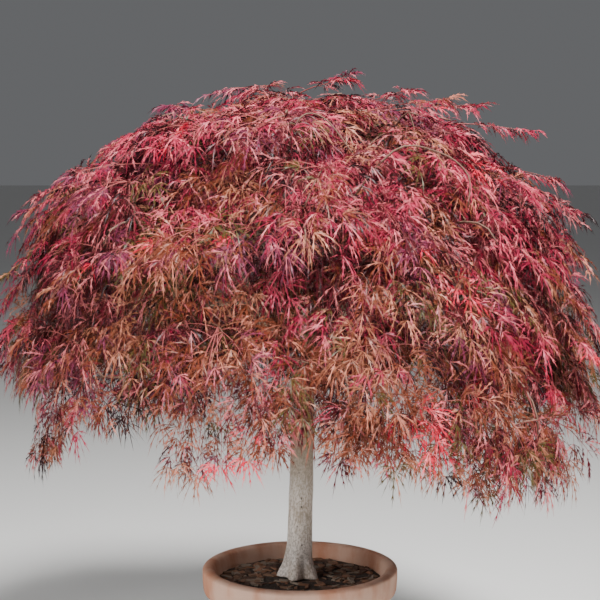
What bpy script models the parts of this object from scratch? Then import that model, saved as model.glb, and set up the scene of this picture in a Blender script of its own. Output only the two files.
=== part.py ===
"""A weeping laceleaf maple, grafted on a clear stem and grown in a plain clay pot.

Metres, +Z up. The origin is the centre of the pot's flat underside.
The crown is a dome with a hanging skirt. Its foliage is parted into a tip and three rings of masses:
upper, middle and skirt. Each mass keeps to its own cell of the crown and grows from its own bough.
"""

import math
import random

import bmesh
import bpy
from mathutils import Matrix, Vector
from mathutils.bvhtree import BVHTree

# Clearance between solids that touch on the real plant.
GAP = 0.0003

# Pot: a turned clay pot with a thick rolled rim and drain holes through its floor.
POT_HEIGHT = 0.42
POT_RIM_RADIUS = 0.238
POT_BASE_RADIUS = 0.168
POT_WALL = 0.017
POT_FLOOR = 0.020
RIM_DEPTH = 0.062
RIM_PROUD = 0.012
RIM_TAPER = 0.003
EDGE_ROUND = 0.006
TURNED_STEPS = 28
DRAIN_HOLES = 3
DRAIN_RADIUS = 0.012
DRAIN_CIRCLE = 0.080

# Soil: fills the pot to a little under the rim and is flat round the stem.
SOIL_LEVEL = 0.392
SOIL_FLAT_RADIUS = 0.070
SOIL_EDGE_FALL = 0.010

# Stem: a clear trunk that flares into roots at the soil and swells at the graft under the boughs.
STEM_SIDES = 12
STEM_FOOT = Vector((-0.003, 0.0, SOIL_LEVEL + GAP))
STEM_TOP = Vector((0.010, 0.004, 1.045))
STEM_BOW = 0.006
# Heights above the soil, radii there, and how far the roots stand out.
STEM_PROFILE = (
    (0.000, 0.0470, 0.20),
    (0.016, 0.0405, 0.16),
    (0.040, 0.0345, 0.08),
    (0.080, 0.0305, 0.0),
    (0.220, 0.0290, 0.0),
    (0.400, 0.0275, 0.0),
    (0.480, 0.0290, 0.0),
    (0.520, 0.0345, 0.0),
    (0.570, 0.0350, 0.0),
    (0.620, 0.0270, 0.0),
    (0.653, 0.0200, 0.0),
)
FLARE_ROOTS = 5

# Crown: a rounded dome above its waist and a boxier skirt below it.
CROWN_RADIUS = 0.720
CROWN_WAIST = 0.880
DOME_HEIGHT = 0.725
DOME_POWER = 2.5
SKIRT_DROP = 0.380
SKIRT_POWER = 4.0
# How steeply a tier's floor and roof slope down and outwards: the tiers hang over one another.
TIER_SLOPE = math.radians(52)

# Tiers, from the top: name, masses, first azimuth, upper and lower edge as angles from the crown's top.
TIERS = (
    ("tip", 1, 0, 0, 16),
    ("upper", 7, 8, 16, 46),
    ("middle", 9, -10, 46, 78),
    ("skirt", 9, -2, 78, 140),
)
# How much of the skirt's full drop each skirt mass trails, anticlockwise from the first azimuth.
SKIRT_TRAILS = (0.45, 0.56, 0.60, 0.52, 0.36, 0.34, 0.43, 0.42, 0.74)
# The vigorous shoot that stands out of the first upper mass: where it ends, and its leaf's size.
SHOOT_END = (0.0, math.radians(42), 1.04)
SHOOT_LEAF_LENGTH = 0.085
SURFACE_REACH = 1.03
CELL_MARGIN = 0.005
CELL_CORE = 0.62

# Boughs: they stay in the crown's core and hand over to a mass at its edge.
BOUGH_DEPTH = 0.60
BOUGH_SIDES = 6
BOUGH_STEPS = 6
BOUGH_TIP_RADIUS = 0.0060
# The tip bough: foot radius, azimuth, and its slants on leaving and on arriving.
TIP_BOUGH = (0.0100, 0.3, 84, 80)
TIP_BOUGH_END = (0.4, math.radians(5), BOUGH_DEPTH)
# The others: foot radius, slant on leaving, how far down its cell the bough ends, and its slant there.
BOUGHS = {
    "upper": (0.0088, 44, 0.45, 22),
    "middle": (0.0108, 26, 0.32, 2),
    "skirt": (0.0078, -28, 0.22, -20),
}
# Height of the boughs' feet on the stem, and how much higher every other foot is.
FOOT_HEIGHTS = {"upper": (0.992, 0.020), "middle": (0.915, 0.036)}
# The point of a middle bough's path where its skirt bough leaves it.
SKIRT_LEAVES_AT = 3

# Twigs, with three sides. The spine is a mass's own stem, and ends this far down its cell and out.
SPINE_RADIUS = 0.0054
SPINE_STEPS = 5
SPINE_END = (0.55, 0.94)
TWIG_SIDES = 3
TWIG_RADIUS = 0.0034
TWIG_TIP_RADIUS = 0.0017

# Leaves: one modelled leaf stands for a spray of the real, finely cut ones.
LEAVES = {"tip": 7, "upper": 8, "middle": 8, "skirt": 8}
LEAF_LENGTH = 0.180
LEAF_SIZES = [1.0 - 0.06 * step for step in range(8)]
LEAF_THICKNESS = 0.0060
LEAF_DROOP = 0.22
LOBE_ANGLES = [math.radians(a) for a in (-150, -98, -48, 0, 48, 98, 150)]
LOBE_SHARES = (0.48, 0.74, 0.92, 1.0, 0.92, 0.74, 0.48)
NOTCH_SHARE = 0.24
HEEL_SHARE = 0.12
# Each leaf takes the roomiest of this many places, and every third one is an inner leaf.
PLACES_TRIED = 80
SIZES_TRIED = 3
JOINTS_TRIED = 8
LEAF_SPACING = 0.17
SHORTEST_TWIG = 0.03
OUTER_DEPTHS = (0.92, 1.00)
INNER_DEPTHS = (0.74, 0.90)
SEED = 11

COLOURS = {
    "terracotta": ((0.46, 0.20, 0.11), 0.85),
    "soil": ((0.060, 0.040, 0.028), 0.95),
    "bark": ((0.43, 0.38, 0.32), 0.80),
    "foliage": ((0.34, 0.045, 0.055), 0.60),
}


def clear_scene():
    for obj in list(bpy.data.objects):
        bpy.data.objects.remove(obj, do_unlink=True)


def new_collection(name):
    made = bpy.data.collections.new(name)
    bpy.context.scene.collection.children.link(made)
    return made


def make_material(name):
    colour, roughness = COLOURS[name]
    made = bpy.data.materials.new(name)
    made.use_nodes = True
    shader = made.node_tree.nodes["Principled BSDF"]
    shader.inputs["Base Color"].default_value = (*colour, 1.0)
    shader.inputs["Roughness"].default_value = roughness
    shader.inputs["Metallic"].default_value = 0.0
    return made


def link_mesh(name, bm, collection, material, smooth=True):
    mesh = bpy.data.meshes.new(name)
    for face in bm.faces:
        face.smooth = smooth
    bm.to_mesh(mesh)
    bm.free()
    mesh.materials.append(material)
    obj = bpy.data.objects.new(name, mesh)
    collection.objects.link(obj)
    return obj


# --- the crown's own coordinates -------------------------------------------------------------


def crown_point(azimuth, polar, depth):
    """A point of the crown: polar is the angle from its top, and depth 1 is the outer surface."""
    across, up = math.sin(polar), math.cos(polar)
    power, rise = (DOME_POWER, DOME_HEIGHT) if up >= 0 else (SKIRT_POWER, SKIRT_DROP)
    swell = (across**power + abs(up) ** power) ** (-1 / power)
    radius = across * swell * CROWN_RADIUS * depth
    height = CROWN_WAIST + up * swell * rise * depth
    return Vector((radius * math.cos(azimuth), radius * math.sin(azimuth), height))


def crown_coordinates(point):
    """(azimuth, polar, depth) of a point: the reverse of crown_point."""
    radius = math.hypot(point.x, point.y) / CROWN_RADIUS
    height = point.z - CROWN_WAIST
    power, rise = (DOME_POWER, DOME_HEIGHT) if height >= 0 else (SKIRT_POWER, SKIRT_DROP)
    height /= rise
    depth = (radius**power + abs(height) ** power) ** (1 / power)
    return math.atan2(point.y, point.x), math.atan2(radius, height), depth


def tier_level(polar, depth):
    """The angle that tells the tiers apart: polar on the outer surface, and more than that inside."""
    return polar + TIER_SLOPE * (1 - depth) * math.sin(polar)


def polar_at(level, depth):
    """The reverse of tier_level."""
    polar = level
    for _ in range(12):
        polar = level - TIER_SLOPE * (1 - depth) * math.sin(polar)
    return polar


def half_turn(angle):
    """The same angle between minus and plus half a turn."""
    return (angle + math.pi) % (2 * math.pi) - math.pi


class Cell:
    """One mass's space: a sector of one tier, between the crown's core and its surface."""

    def __init__(self, tier, index):
        self.tier, count, first, top, bottom = TIERS[tier]
        self.index = index
        self.name = f"foliage_{self.tier}" + (f"_{index + 1}" if count > 1 else "")
        self.centre = math.radians(first) + index * 2 * math.pi / count
        self.half_width = math.pi / count
        self.top, self.bottom = math.radians(top), math.radians(bottom)
        if self.tier == "skirt":
            self.bottom = self.top + (self.bottom - self.top) * SKIRT_TRAILS[index]

    def point(self, across, down, depth):
        """across is -1 to 1 over the cell's width, and down 0 at its roof to 1 at its floor."""
        level = self.top + (self.bottom - self.top) * down
        return crown_point(self.centre + across * self.half_width, polar_at(level, depth), depth)

    def spans(self, point):
        """Whether a point is between the cell's roof, floor and sides."""
        azimuth, polar, depth = crown_coordinates(point)
        level = tier_level(polar, depth)
        room = CELL_MARGIN / (CROWN_RADIUS * max(depth, 0.3))
        if level > self.bottom - room:
            return False
        if self.tier == "tip":
            return True
        off = abs(half_turn(azimuth - self.centre))
        away = math.hypot(point.x, point.y)
        clear = off < self.half_width and away * math.sin(self.half_width - off) > CELL_MARGIN
        return clear and level > self.top + room

    def holds(self, point):
        return CELL_CORE < crown_coordinates(point)[2] < SURFACE_REACH and self.spans(point)


# --- lofts -----------------------------------------------------------------------------------


def hermite(start, start_pull, end, end_pull, steps):
    """Points on the smooth curve that leaves start along start_pull and arrives along end_pull."""
    points = []
    for i in range(steps + 1):
        t = i / steps
        points.append(
            start * (2 * t**3 - 3 * t**2 + 1)
            + start_pull * (t**3 - 2 * t**2 + t)
            + end * (3 * t**2 - 2 * t**3)
            + end_pull * (t**3 - t**2)
        )
    return points


def loft(bm, centres, radii, sides, first_normal, last_normal, ripple=None):
    """A closed tube of rings about centres, with flat ends facing first_normal and last_normal."""
    side = first_normal.orthogonal().normalized()
    rings = []
    for i, (centre, radius) in enumerate(zip(centres, radii)):
        if i == 0:
            along = first_normal.normalized()
        elif i == len(centres) - 1:
            along = last_normal.normalized()
        else:
            along = (centres[i + 1] - centres[i - 1]).normalized()
        side = (side - along * side.dot(along)).normalized()
        other = along.cross(side)
        ring = []
        for k in range(sides):
            angle = 2 * math.pi * k / sides
            reach = radius * (ripple(i, angle) if ripple else 1.0)
            spoke = side * math.cos(angle) + other * math.sin(angle)
            ring.append(bm.verts.new(centre + spoke * reach))
        rings.append(ring)
    for low, high in zip(rings, rings[1:]):
        for k in range(sides):
            bm.faces.new((low[k], low[(k + 1) % sides], high[(k + 1) % sides], high[k]))
    bm.faces.new(list(reversed(rings[0])))
    bm.faces.new(rings[-1])


def tapered(count, foot_radius, tip_radius):
    return [foot_radius + (tip_radius - foot_radius) * i / (count - 1) for i in range(count)]


def mesh_tree(obj):
    places = [vert.co.copy() for vert in obj.data.vertices]
    return BVHTree.FromPolygons(places, [face.vertices[:] for face in obj.data.polygons])


def seat(tree, target, direction, radius):
    """The centre of a flat foot that leaves target along direction and clears its host by about GAP."""
    side = direction.orthogonal().normalized()
    other = direction.cross(side)
    start = 0.15
    furthest = 0.0
    for share in (0.0, 0.3, 0.6, 0.8, 1.0):
        for turn in range(36):
            angle = turn * math.pi / 18
            offset = (side * math.cos(angle) + other * math.sin(angle)) * radius * share
            distance = tree.ray_cast(target + direction * start + offset, -direction, start)[3]
            if distance is not None:
                furthest = max(furthest, start - distance)
    return target + direction * (furthest + 1.5 * GAP)


# --- pot, soil and stem ----------------------------------------------------------------------


def turned(name, profile, collection, material):
    """A profile of (radius, height) points turned about Z: its solid lies to the right of its path."""
    bm = bmesh.new()
    verts = [bm.verts.new((radius, 0.0, height)) for radius, height in profile]
    for first, second in zip(verts, verts[1:]):
        bm.edges.new((first, second))
    obj = link_mesh(name, bm, collection, material)
    screw = obj.modifiers.new("turn", "SCREW")
    screw.steps = screw.render_steps = TURNED_STEPS
    screw.use_merge_vertices = True
    screw.merge_threshold = 0.00005
    screw.use_smooth_shade = True
    return obj


def inner_radius(height):
    """The pot's inner wall at a height above its underside."""
    top = POT_RIM_RADIUS - RIM_PROUD
    return POT_BASE_RADIUS + (top - POT_BASE_RADIUS) * height / POT_HEIGHT - POT_WALL


def make_pot(collection, cutters, material):
    neck = POT_HEIGHT - RIM_DEPTH
    profile = [
        (0.0, POT_FLOOR),
        (inner_radius(POT_FLOOR), POT_FLOOR),
        (inner_radius(POT_HEIGHT), POT_HEIGHT - EDGE_ROUND),
        (inner_radius(POT_HEIGHT) + EDGE_ROUND, POT_HEIGHT),
        (POT_RIM_RADIUS - EDGE_ROUND, POT_HEIGHT),
        (POT_RIM_RADIUS, POT_HEIGHT - EDGE_ROUND),
        (POT_RIM_RADIUS - RIM_TAPER, neck + EDGE_ROUND),
        (POT_RIM_RADIUS - RIM_TAPER - EDGE_ROUND, neck),
        (inner_radius(neck) + POT_WALL, neck - 0.004),
        (POT_BASE_RADIUS + 0.001, EDGE_ROUND),
        (POT_BASE_RADIUS - EDGE_ROUND, 0.0),
        (0.0, 0.0),
    ]
    pot = turned("pot", profile, collection, material)
    for i in range(DRAIN_HOLES):
        angle = i * 2 * math.pi / DRAIN_HOLES + math.pi / 6
        place = Vector((math.cos(angle), math.sin(angle), 0.0)) * DRAIN_CIRCLE
        bm = bmesh.new()
        bmesh.ops.create_cone(
            bm,
            cap_ends=True,
            segments=12,
            radius1=DRAIN_RADIUS,
            radius2=DRAIN_RADIUS,
            depth=4 * POT_FLOOR,
            matrix=Matrix.Translation(place),
        )
        cutter = link_mesh(f"drain_cutter_{i + 1}", bm, cutters, material)
        cutter.hide_render = True
        cutter.display_type = "WIRE"
        cut = pot.modifiers.new(f"drain_{i + 1}", "BOOLEAN")
        cut.operation = "DIFFERENCE"
        cut.object = cutter
    return pot


def make_soil(collection, material):
    foot = POT_FLOOR + GAP
    edge = SOIL_LEVEL - SOIL_EDGE_FALL
    profile = [
        (0.0, SOIL_LEVEL),
        (SOIL_FLAT_RADIUS, SOIL_LEVEL),
        (inner_radius(edge) * 0.75, SOIL_LEVEL - 0.4 * SOIL_EDGE_FALL),
        (inner_radius(edge) - 2 * GAP, edge),
        (inner_radius(foot) - 2 * GAP, foot),
        (0.0, foot),
    ]
    return turned("soil", profile, collection, material)


def stem_centre(height):
    """The stem's axis at a height above the soil: it leans and bows a little."""
    share = min(height / (STEM_TOP.z - STEM_FOOT.z), 1.0)
    place = STEM_FOOT.lerp(STEM_TOP, share)
    bow = STEM_BOW * math.sin(math.pi * share)
    return Vector((place.x + bow * 0.3, place.y + bow, STEM_FOOT.z + height))


def make_stem(collection, material):
    def roots(ring, angle):
        return 1 + STEM_PROFILE[ring][2] * math.cos(FLARE_ROOTS * angle + 0.6)

    bm = bmesh.new()
    centres = [stem_centre(height) for height, _, _ in STEM_PROFILE]
    radii = [radius for _, radius, _ in STEM_PROFILE]
    up = Vector((0.0, 0.0, 1.0))
    loft(bm, centres, radii, STEM_SIDES, up, up, roots)
    return link_mesh("stem", bm, collection, material)


# --- boughs ----------------------------------------------------------------------------------


class Bough:
    """One tapering limb from its host to the edge of the mass that it carries."""

    def __init__(self, cell, host, target, leave, end, arrive, foot_radius):
        leave, self.arrive = leave.normalized(), arrive.normalized()
        foot = seat(host, target, leave, foot_radius)
        reach = (end - foot).length
        self.cell = cell
        self.path = hermite(foot, leave * reach, end, self.arrive * reach * 0.8, BOUGH_STEPS)
        self.leave = leave
        self.radii = tapered(len(self.path), foot_radius, BOUGH_TIP_RADIUS)

    def build(self, collection, material):
        bm = bmesh.new()
        loft(bm, self.path, self.radii, BOUGH_SIDES, self.leave, self.arrive)
        return link_mesh(self.cell.name.replace("foliage", "bough"), bm, collection, material)


def outward(azimuth, slant):
    """A unit vector out along an azimuth and up by a slant in degrees."""
    rise = math.radians(slant)
    flat = math.cos(rise)
    return Vector((math.cos(azimuth) * flat, math.sin(azimuth) * flat, math.sin(rise)))


def make_boughs(cells, stem, collection, material):
    """The tip, upper and middle boughs leave the stem, and each skirt bough the middle bough over it."""
    stem_tree = mesh_tree(stem)
    hosts = {}
    boughs = []
    for cell in cells:
        if cell.tier == "tip":
            radius, azimuth, leave, arrive = TIP_BOUGH
            end = crown_point(*TIP_BOUGH_END)
        else:
            radius, leave, down, arrive = BOUGHS[cell.tier]
            azimuth = cell.centre
            end = cell.point(0.0, down, BOUGH_DEPTH)
        host, target = stem_tree, STEM_TOP
        if cell.tier == "skirt":
            host, path = hosts[cell.index]
            target = path[SKIRT_LEAVES_AT]
        elif cell.tier != "tip":
            height, stagger = FOOT_HEIGHTS[cell.tier]
            target = stem_centre(height + stagger * (cell.index % 2) - STEM_FOOT.z)
        leave, arrive = outward(azimuth, leave), outward(azimuth, arrive)
        bough = Bough(cell, host, target, leave, end, arrive, radius)
        obj = bough.build(collection, material)
        if cell.tier == "middle":
            hosts[cell.index] = (mesh_tree(obj), bough.path)
        boughs.append(bough)
    return boughs


# --- foliage ---------------------------------------------------------------------------------


def fall_line(point):
    """(outward normal, downhill direction) of the crown's surface near a point."""
    radial = Vector((point.x, point.y, 0.0))
    radial = radial.normalized() if radial.length > 1e-6 else Vector((1.0, 0.0, 0.0))
    polar = crown_coordinates(point)[1]
    normal = (radial * math.sin(polar) + Vector((0, 0, max(math.cos(polar), -0.25)))).normalized()
    down = radial * normal.z - Vector((0, 0, 1)) * normal.dot(radial)
    return normal, down.normalized()


def leaf_outline(centre, along, normal, length):
    """The cut outline of one leaf, from its heel round its seven lobes."""
    side = normal.cross(along).normalized()
    spokes = [(math.pi, HEEL_SHARE)]
    for i, (angle, share) in enumerate(zip(LOBE_ANGLES, LOBE_SHARES)):
        if i:
            spokes.append(((LOBE_ANGLES[i - 1] + angle) / 2, NOTCH_SHARE))
        spokes.append((angle, share))
    points = []
    for angle, share in spokes:
        reach = share * length
        place = centre + (along * math.cos(angle) + side * math.sin(angle)) * reach
        points.append(place - normal * LEAF_DROOP * reach * share)
    return points


def leaf_mesh(outline, centre, normal):
    """A leaf thickest at its middle and thinning out to every point of its outline."""
    bm = bmesh.new()
    rim = [bm.verts.new(point) for point in outline]
    top = bm.verts.new(centre + normal * LEAF_THICKNESS / 2)
    bottom = bm.verts.new(centre - normal * LEAF_THICKNESS / 2)
    for i, vert in enumerate(rim):
        after = rim[(i + 1) % len(rim)]
        bm.faces.new((top, vert, after))
        bm.faces.new((bottom, after, vert))
    bmesh.ops.recalc_face_normals(bm, faces=bm.faces)
    return bm


class Mass:
    """The foliage of one cell: a spine from its bough's tip, twigs that branch off it, and leaves."""

    def __init__(self, bough, rng):
        self.bough, self.cell, self.rng = bough, bough.cell, rng
        self.pieces = new_collection(self.cell.name)
        self.solids, self.roots, self.joints = [], [], []

    def jitter(self, size):
        return Vector([self.rng.uniform(-size, size) for _ in range(3)])

    def clear(self, bm, host=None):
        """Whether a piece touches none of the pieces so far, but for the host that it grows on."""
        tree = BVHTree.FromBMesh(bm)
        return not any(tree.overlap(solid) for solid in self.solids if solid is not host)

    def keep(self, bm):
        self.solids.append(BVHTree.FromBMesh(bm))
        link_mesh("piece", bm, self.pieces, self.material)
        return self.solids[-1]

    def leaf_at(self, root, along):
        """(share of full size, leaf) of the largest leaf that fits the cell there, or nothing."""
        normal = fall_line(root)[0]
        ahead = (along + self.jitter(0.25)).normalized()
        up = normal + self.jitter(0.2)
        up = (up - ahead * up.dot(ahead)).normalized()
        fitted = 0
        for size in LEAF_SIZES:
            outline = leaf_outline(root, ahead, up, LEAF_LENGTH * size)
            tests = outline + [root.lerp(point, 0.5) for point in outline]
            if not all(self.cell.holds(point) for point in tests):
                continue
            bm = leaf_mesh(outline, root, up)
            if self.clear(bm):
                return size, bm
            bm.free()
            fitted += 1
            if fitted == SIZES_TRIED:
                break
        return None

    def random_place(self, inner):
        """A place in the cell, and the way that a leaf there hangs."""
        depth = self.rng.uniform(*(INNER_DEPTHS if inner else OUTER_DEPTHS))
        root = self.cell.point(self.rng.uniform(-0.86, 0.86), self.rng.uniform(0.06, 0.9), depth)
        normal, fall = fall_line(root)
        return root, (fall + normal.cross(fall) * self.rng.uniform(-0.9, 0.9)).normalized()

    def twig_to(self, root):
        """(twig, the joint that it offers) to a leaf's root from a joint near it, or nothing."""
        nearest = sorted(self.joints, key=lambda joint: (joint[0] - root).length)
        for start, host in nearest[:JOINTS_TRIED]:
            way = root - start
            if way.length < SHORTEST_TWIG:
                continue
            bm = bmesh.new()
            loft(bm, [start, root], [TWIG_RADIUS, TWIG_TIP_RADIUS], TWIG_SIDES, way, way)
            if self.clear(bm, host):
                return bm, start.lerp(root, 0.6)
            bm.free()
        return None

    def add_leaf(self, inner):
        """Grows the roomiest leaf of a number of places tried, with the twig that carries it."""
        places = []
        for _ in range(PLACES_TRIED):
            root, along = self.random_place(inner)
            found = self.leaf_at(root, along)
            if found:
                apart = min([(root - other).length for other in self.roots] + [LEAF_SPACING])
                places.append((found[0] * apart, len(places), root, found[1]))
        places.sort(key=lambda place: place[:2], reverse=True)
        grown = False
        for _, _, root, leaf in places:
            twig = None if grown else self.twig_to(root)
            if twig:
                self.joints.append((twig[1], self.keep(twig[0])))
                self.keep(leaf)
                self.roots.append(root)
                grown = True
            else:
                leaf.free()

    def grow_shoot(self, spine):
        """The long shoot that stands out of the crown, with a leaf at its end."""
        tip = crown_point(*SHOOT_END)
        leave = (tip - spine[1]) * 0.9 + Vector((0.0, 0.0, 0.12))
        path = hermite(spine[1], leave, tip, Vector((0.22, 0.0, -0.05)), 5)
        bm = bmesh.new()
        radii = tapered(len(path), TWIG_RADIUS, TWIG_TIP_RADIUS)
        loft(bm, path, radii, TWIG_SIDES, path[1] - path[0], path[-1] - path[-2])
        self.keep(bm)
        along, up = Vector((0.94, 0.0, -0.34)), Vector((0.29, -0.54, 0.79))
        self.keep(leaf_mesh(leaf_outline(tip, along, up, SHOOT_LEAF_LENGTH), tip, up))

    def grow(self, collection, material):
        cell, bough = self.cell, self.bough
        self.material = material
        start = bough.path[-1] + bough.arrive * GAP
        end = cell.point(self.rng.uniform(-0.10, 0.10), *SPINE_END)
        span = (end - start).length
        path = hermite(start, bough.arrive * span * 1.3, end, fall_line(end)[1] * span, SPINE_STEPS)
        bm = bmesh.new()
        radii = tapered(len(path), SPINE_RADIUS, TWIG_TIP_RADIUS * 1.3)
        loft(bm, path, radii, TWIG_SIDES, bough.arrive, path[-1] - path[-2])
        self.solids.append(BVHTree.FromBMesh(bm))
        self.joints = [(low.lerp(high, 0.7), self.solids[0]) for low, high in zip(path, path[1:])]
        spine = link_mesh(cell.name, bm, collection, material)
        if (cell.tier, cell.index) == ("upper", 0):
            self.grow_shoot(path)
        for number in range(LEAVES[cell.tier]):
            self.add_leaf(number % 3 == 2)
        self.join(spine)

    def join(self, spine):
        """One union of the spine with its twigs and leaves, kept as a plain mesh."""
        union = spine.modifiers.new("grow_together", "BOOLEAN")
        union.operation = "UNION"
        union.operand_type = "COLLECTION"
        union.collection = self.pieces
        union.solver = "MANIFOLD"
        bpy.context.view_layer.update()
        graph = bpy.context.evaluated_depsgraph_get()
        mesh = bpy.data.meshes.new_from_object(spine.evaluated_get(graph), depsgraph=graph)
        spine.modifiers.clear()
        spine.data = mesh
        for piece in list(self.pieces.objects):
            bpy.data.objects.remove(piece, do_unlink=True)
        bpy.data.collections.remove(self.pieces)
        keep_largest(mesh)


def keep_largest(mesh):
    """Drops loose scraps and the skins of sealed hollows."""
    bm = bmesh.new()
    bm.from_mesh(mesh)
    bmesh.ops.triangulate(bm, faces=bm.faces)
    left = set(bm.verts)
    groups = []
    while left:
        stack = [left.pop()]
        group = set(stack)
        while stack:
            for edge in stack.pop().link_edges:
                for vert in edge.verts:
                    if vert in left:
                        left.remove(vert)
                        group.add(vert)
                        stack.append(vert)
        groups.append(group)
    largest = max(groups, key=len)
    scrap = [vert for group in groups if group is not largest for vert in group]
    bmesh.ops.delete(bm, geom=scrap, context="VERTS")
    bm.to_mesh(mesh)
    bm.free()


def main():
    clear_scene()
    parts = new_collection("weeping_maple_in_pot")
    cutters = new_collection("cutters")
    materials = {name: make_material(name) for name in COLOURS}
    make_pot(parts, cutters, materials["terracotta"])
    make_soil(parts, materials["soil"])
    stem = make_stem(parts, materials["bark"])
    cells = [Cell(tier, index) for tier in range(len(TIERS)) for index in range(TIERS[tier][1])]
    boughs = make_boughs(cells, stem, parts, materials["bark"])
    for number, bough in enumerate(boughs):
        Mass(bough, random.Random(SEED + number)).grow(parts, materials["foliage"])


main()
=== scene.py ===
"""Looks of a weeping laceleaf maple grown in a clay pot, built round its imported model.

Metres, +Z up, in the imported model's own frame. The foliage grows on from the boughs by the same rule as
the part's source: each mass keeps to its own cell of the crown, and every branch takes the roomiest place
of a number tried. Here the rule is carried to finer twigs, to drooping sprays and to leaves of life size.
"""

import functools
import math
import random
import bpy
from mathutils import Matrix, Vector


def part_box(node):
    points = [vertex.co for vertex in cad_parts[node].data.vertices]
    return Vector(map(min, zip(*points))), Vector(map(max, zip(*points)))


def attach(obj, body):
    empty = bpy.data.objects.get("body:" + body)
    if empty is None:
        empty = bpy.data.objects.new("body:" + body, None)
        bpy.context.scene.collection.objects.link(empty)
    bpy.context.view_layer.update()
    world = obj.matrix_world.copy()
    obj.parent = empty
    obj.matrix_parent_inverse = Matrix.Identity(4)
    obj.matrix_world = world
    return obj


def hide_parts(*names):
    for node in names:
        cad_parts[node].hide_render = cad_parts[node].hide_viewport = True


bl_info = {
    "name": "Weeping laceleaf maple in a clay pot",
    "version": (1, 0, 0),
    "blender": (4, 5, 0),
    "location": "View3D > Sidebar > Maple",
    "description": "Bark, twigs, leaves, pot, soil and stage of a weeping laceleaf maple",
    "category": "Add Mesh",
}

import bmesh
import bpy
import numpy as np
from bpy.props import FloatProperty, FloatVectorProperty, IntProperty, PointerProperty
from mathutils import Matrix, Vector, noise
from mathutils.bvhtree import BVHTree

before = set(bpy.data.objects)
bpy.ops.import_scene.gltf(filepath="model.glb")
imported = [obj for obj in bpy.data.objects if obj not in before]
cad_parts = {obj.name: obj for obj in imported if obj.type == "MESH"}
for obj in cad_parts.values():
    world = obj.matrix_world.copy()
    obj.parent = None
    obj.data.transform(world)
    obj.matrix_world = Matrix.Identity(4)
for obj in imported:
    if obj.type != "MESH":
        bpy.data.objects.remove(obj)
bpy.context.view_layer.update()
BODY = "root"

UP = Vector((0.0, 0.0, 1.0))
DOWN = -UP

# Clearance between the source's solids, and of a bough's foot from its host.
GAP = 0.0003
FOOT_CLEARANCE = 1.5 * GAP

# Stem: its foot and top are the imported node's own.
STEM_LOW, STEM_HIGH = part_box("stem")
STEM_FOOT = Vector((-0.003, 0.0, STEM_LOW.z))
STEM_TOP = Vector((0.010, 0.004, STEM_HIGH.z))
# How far the middle of the stem bows, backwards, and the share of that to the right.
STEM_BOW = 0.006
STEM_BOW_ASIDE = 0.3
# Heights above the foot, radii there, and how far the roots stand out as a share of the radius.
STEM_PROFILE = (
    (0.000, 0.0470, 0.20),
    (0.016, 0.0405, 0.16),
    (0.040, 0.0345, 0.08),
    (0.080, 0.0305, 0.0),
    (0.220, 0.0290, 0.0),
    (0.400, 0.0275, 0.0),
    (0.480, 0.0290, 0.0),
    (0.520, 0.0345, 0.0),
    (0.570, 0.0350, 0.0),
    (0.620, 0.0270, 0.0),
    (0.653, 0.0200, 0.0),
)
FLARE_ROOTS = 5
GRAFT_HEIGHT = 0.545

# The crown is a rounded dome above its waist and a boxier skirt below it. On its underside the surface's
# normal turns down no further than UNDERSIDE_TURN.
CROWN_RADIUS = 0.720
CROWN_WAIST = 0.880
DOME_HEIGHT = 0.725
DOME_POWER = 2.5
SKIRT_DROP = 0.380
SKIRT_POWER = 4.0
UNDERSIDE_TURN = -0.25
TIER_SLOPE = math.radians(52)

# Tiers, from the top: name, masses, first azimuth, upper and lower edge as angles from the crown's top.
TIERS = (
    ("tip", 1, 0, 0, 16),
    ("upper", 7, 8, 16, 46),
    ("middle", 9, -10, 46, 78),
    ("skirt", 9, -2, 78, 140),
)
# How far down its tier each skirt hangs. The seventh is shorter here than in the source.
SKIRT_TRAILS = (0.45, 0.56, 0.60, 0.52, 0.36, 0.34, 0.33, 0.42, 0.74)
# How much a skirt's hem rises from its middle to its sides, as a share of its drop.
SCALLOP = 0.35

# Long shoots that stand out of the crown: azimuth and angle from its top in degrees, and depth.
SHOOTS = (
    (-11, 43, 1.035), (-10, 51, 0.985), (-10, 58, 1.0), (-30, 81, 1.0), (-155, 54, 0.99),
    (-166, 57, 0.985), (-145, 50, 0.99), (-161, 68, 0.985), (-135, 31, 0.97), (-140, 104, 0.96),
    (18, 66, 0.99), (40, 47, 1.0), (62, 74, 0.99), (84, 58, 1.0), (100, 84, 0.98),
    (118, 44, 1.0), (140, 70, 0.99), (-47, 12, 0.99), (-53, 29, 1.0), (-40, 32, 1.0),
    (-23, 33, 1.0),
)
# Trailing shoots that hang at the hem, in the same way.
TRAILS = (
    (-140, 102, 0.99), (-136, 99, 0.97), (-110, 100, 0.98), (-107, 102, 0.96), (-102.5, 99, 0.98),
    (-98, 97, 0.98), (-94, 94, 0.96), (-84, 97, 0.98), (-81, 95, 0.96), (-75, 100, 0.98),
    (-71, 99, 0.97), (-66, 103, 0.98), (-61.5, 107, 0.98), (-58, 110, 0.97), (-55, 105, 0.95),
    (-44, 111, 0.98), (-41, 105, 0.96),
)
# Bare limbs that arch over the leaves: the places that they pass, in the same way.
BARE_LIMBS = (
    ((-77, 47, 0.74), (-69, 45, 0.975), (-58, 46, 0.985), (-53, 50, 0.975), (-53, 54, 0.93)),
    ((-98, 40, 0.74), (-91, 38, 0.97), (-84, 37, 0.98), (-76, 42, 0.91)),
    ((68, 48, 0.74), (78, 46, 0.95), (91, 49, 0.96), (97, 58, 0.91)),
)
# How fast the tints drift over the crown, and how fast the scarlet and tan patches on them change.
DRIFT_SCALE = 3.4
PATCH_SCALE = 6.1
PATCH_SHIFT = Vector((7.0, 3.0, 1.0))
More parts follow.
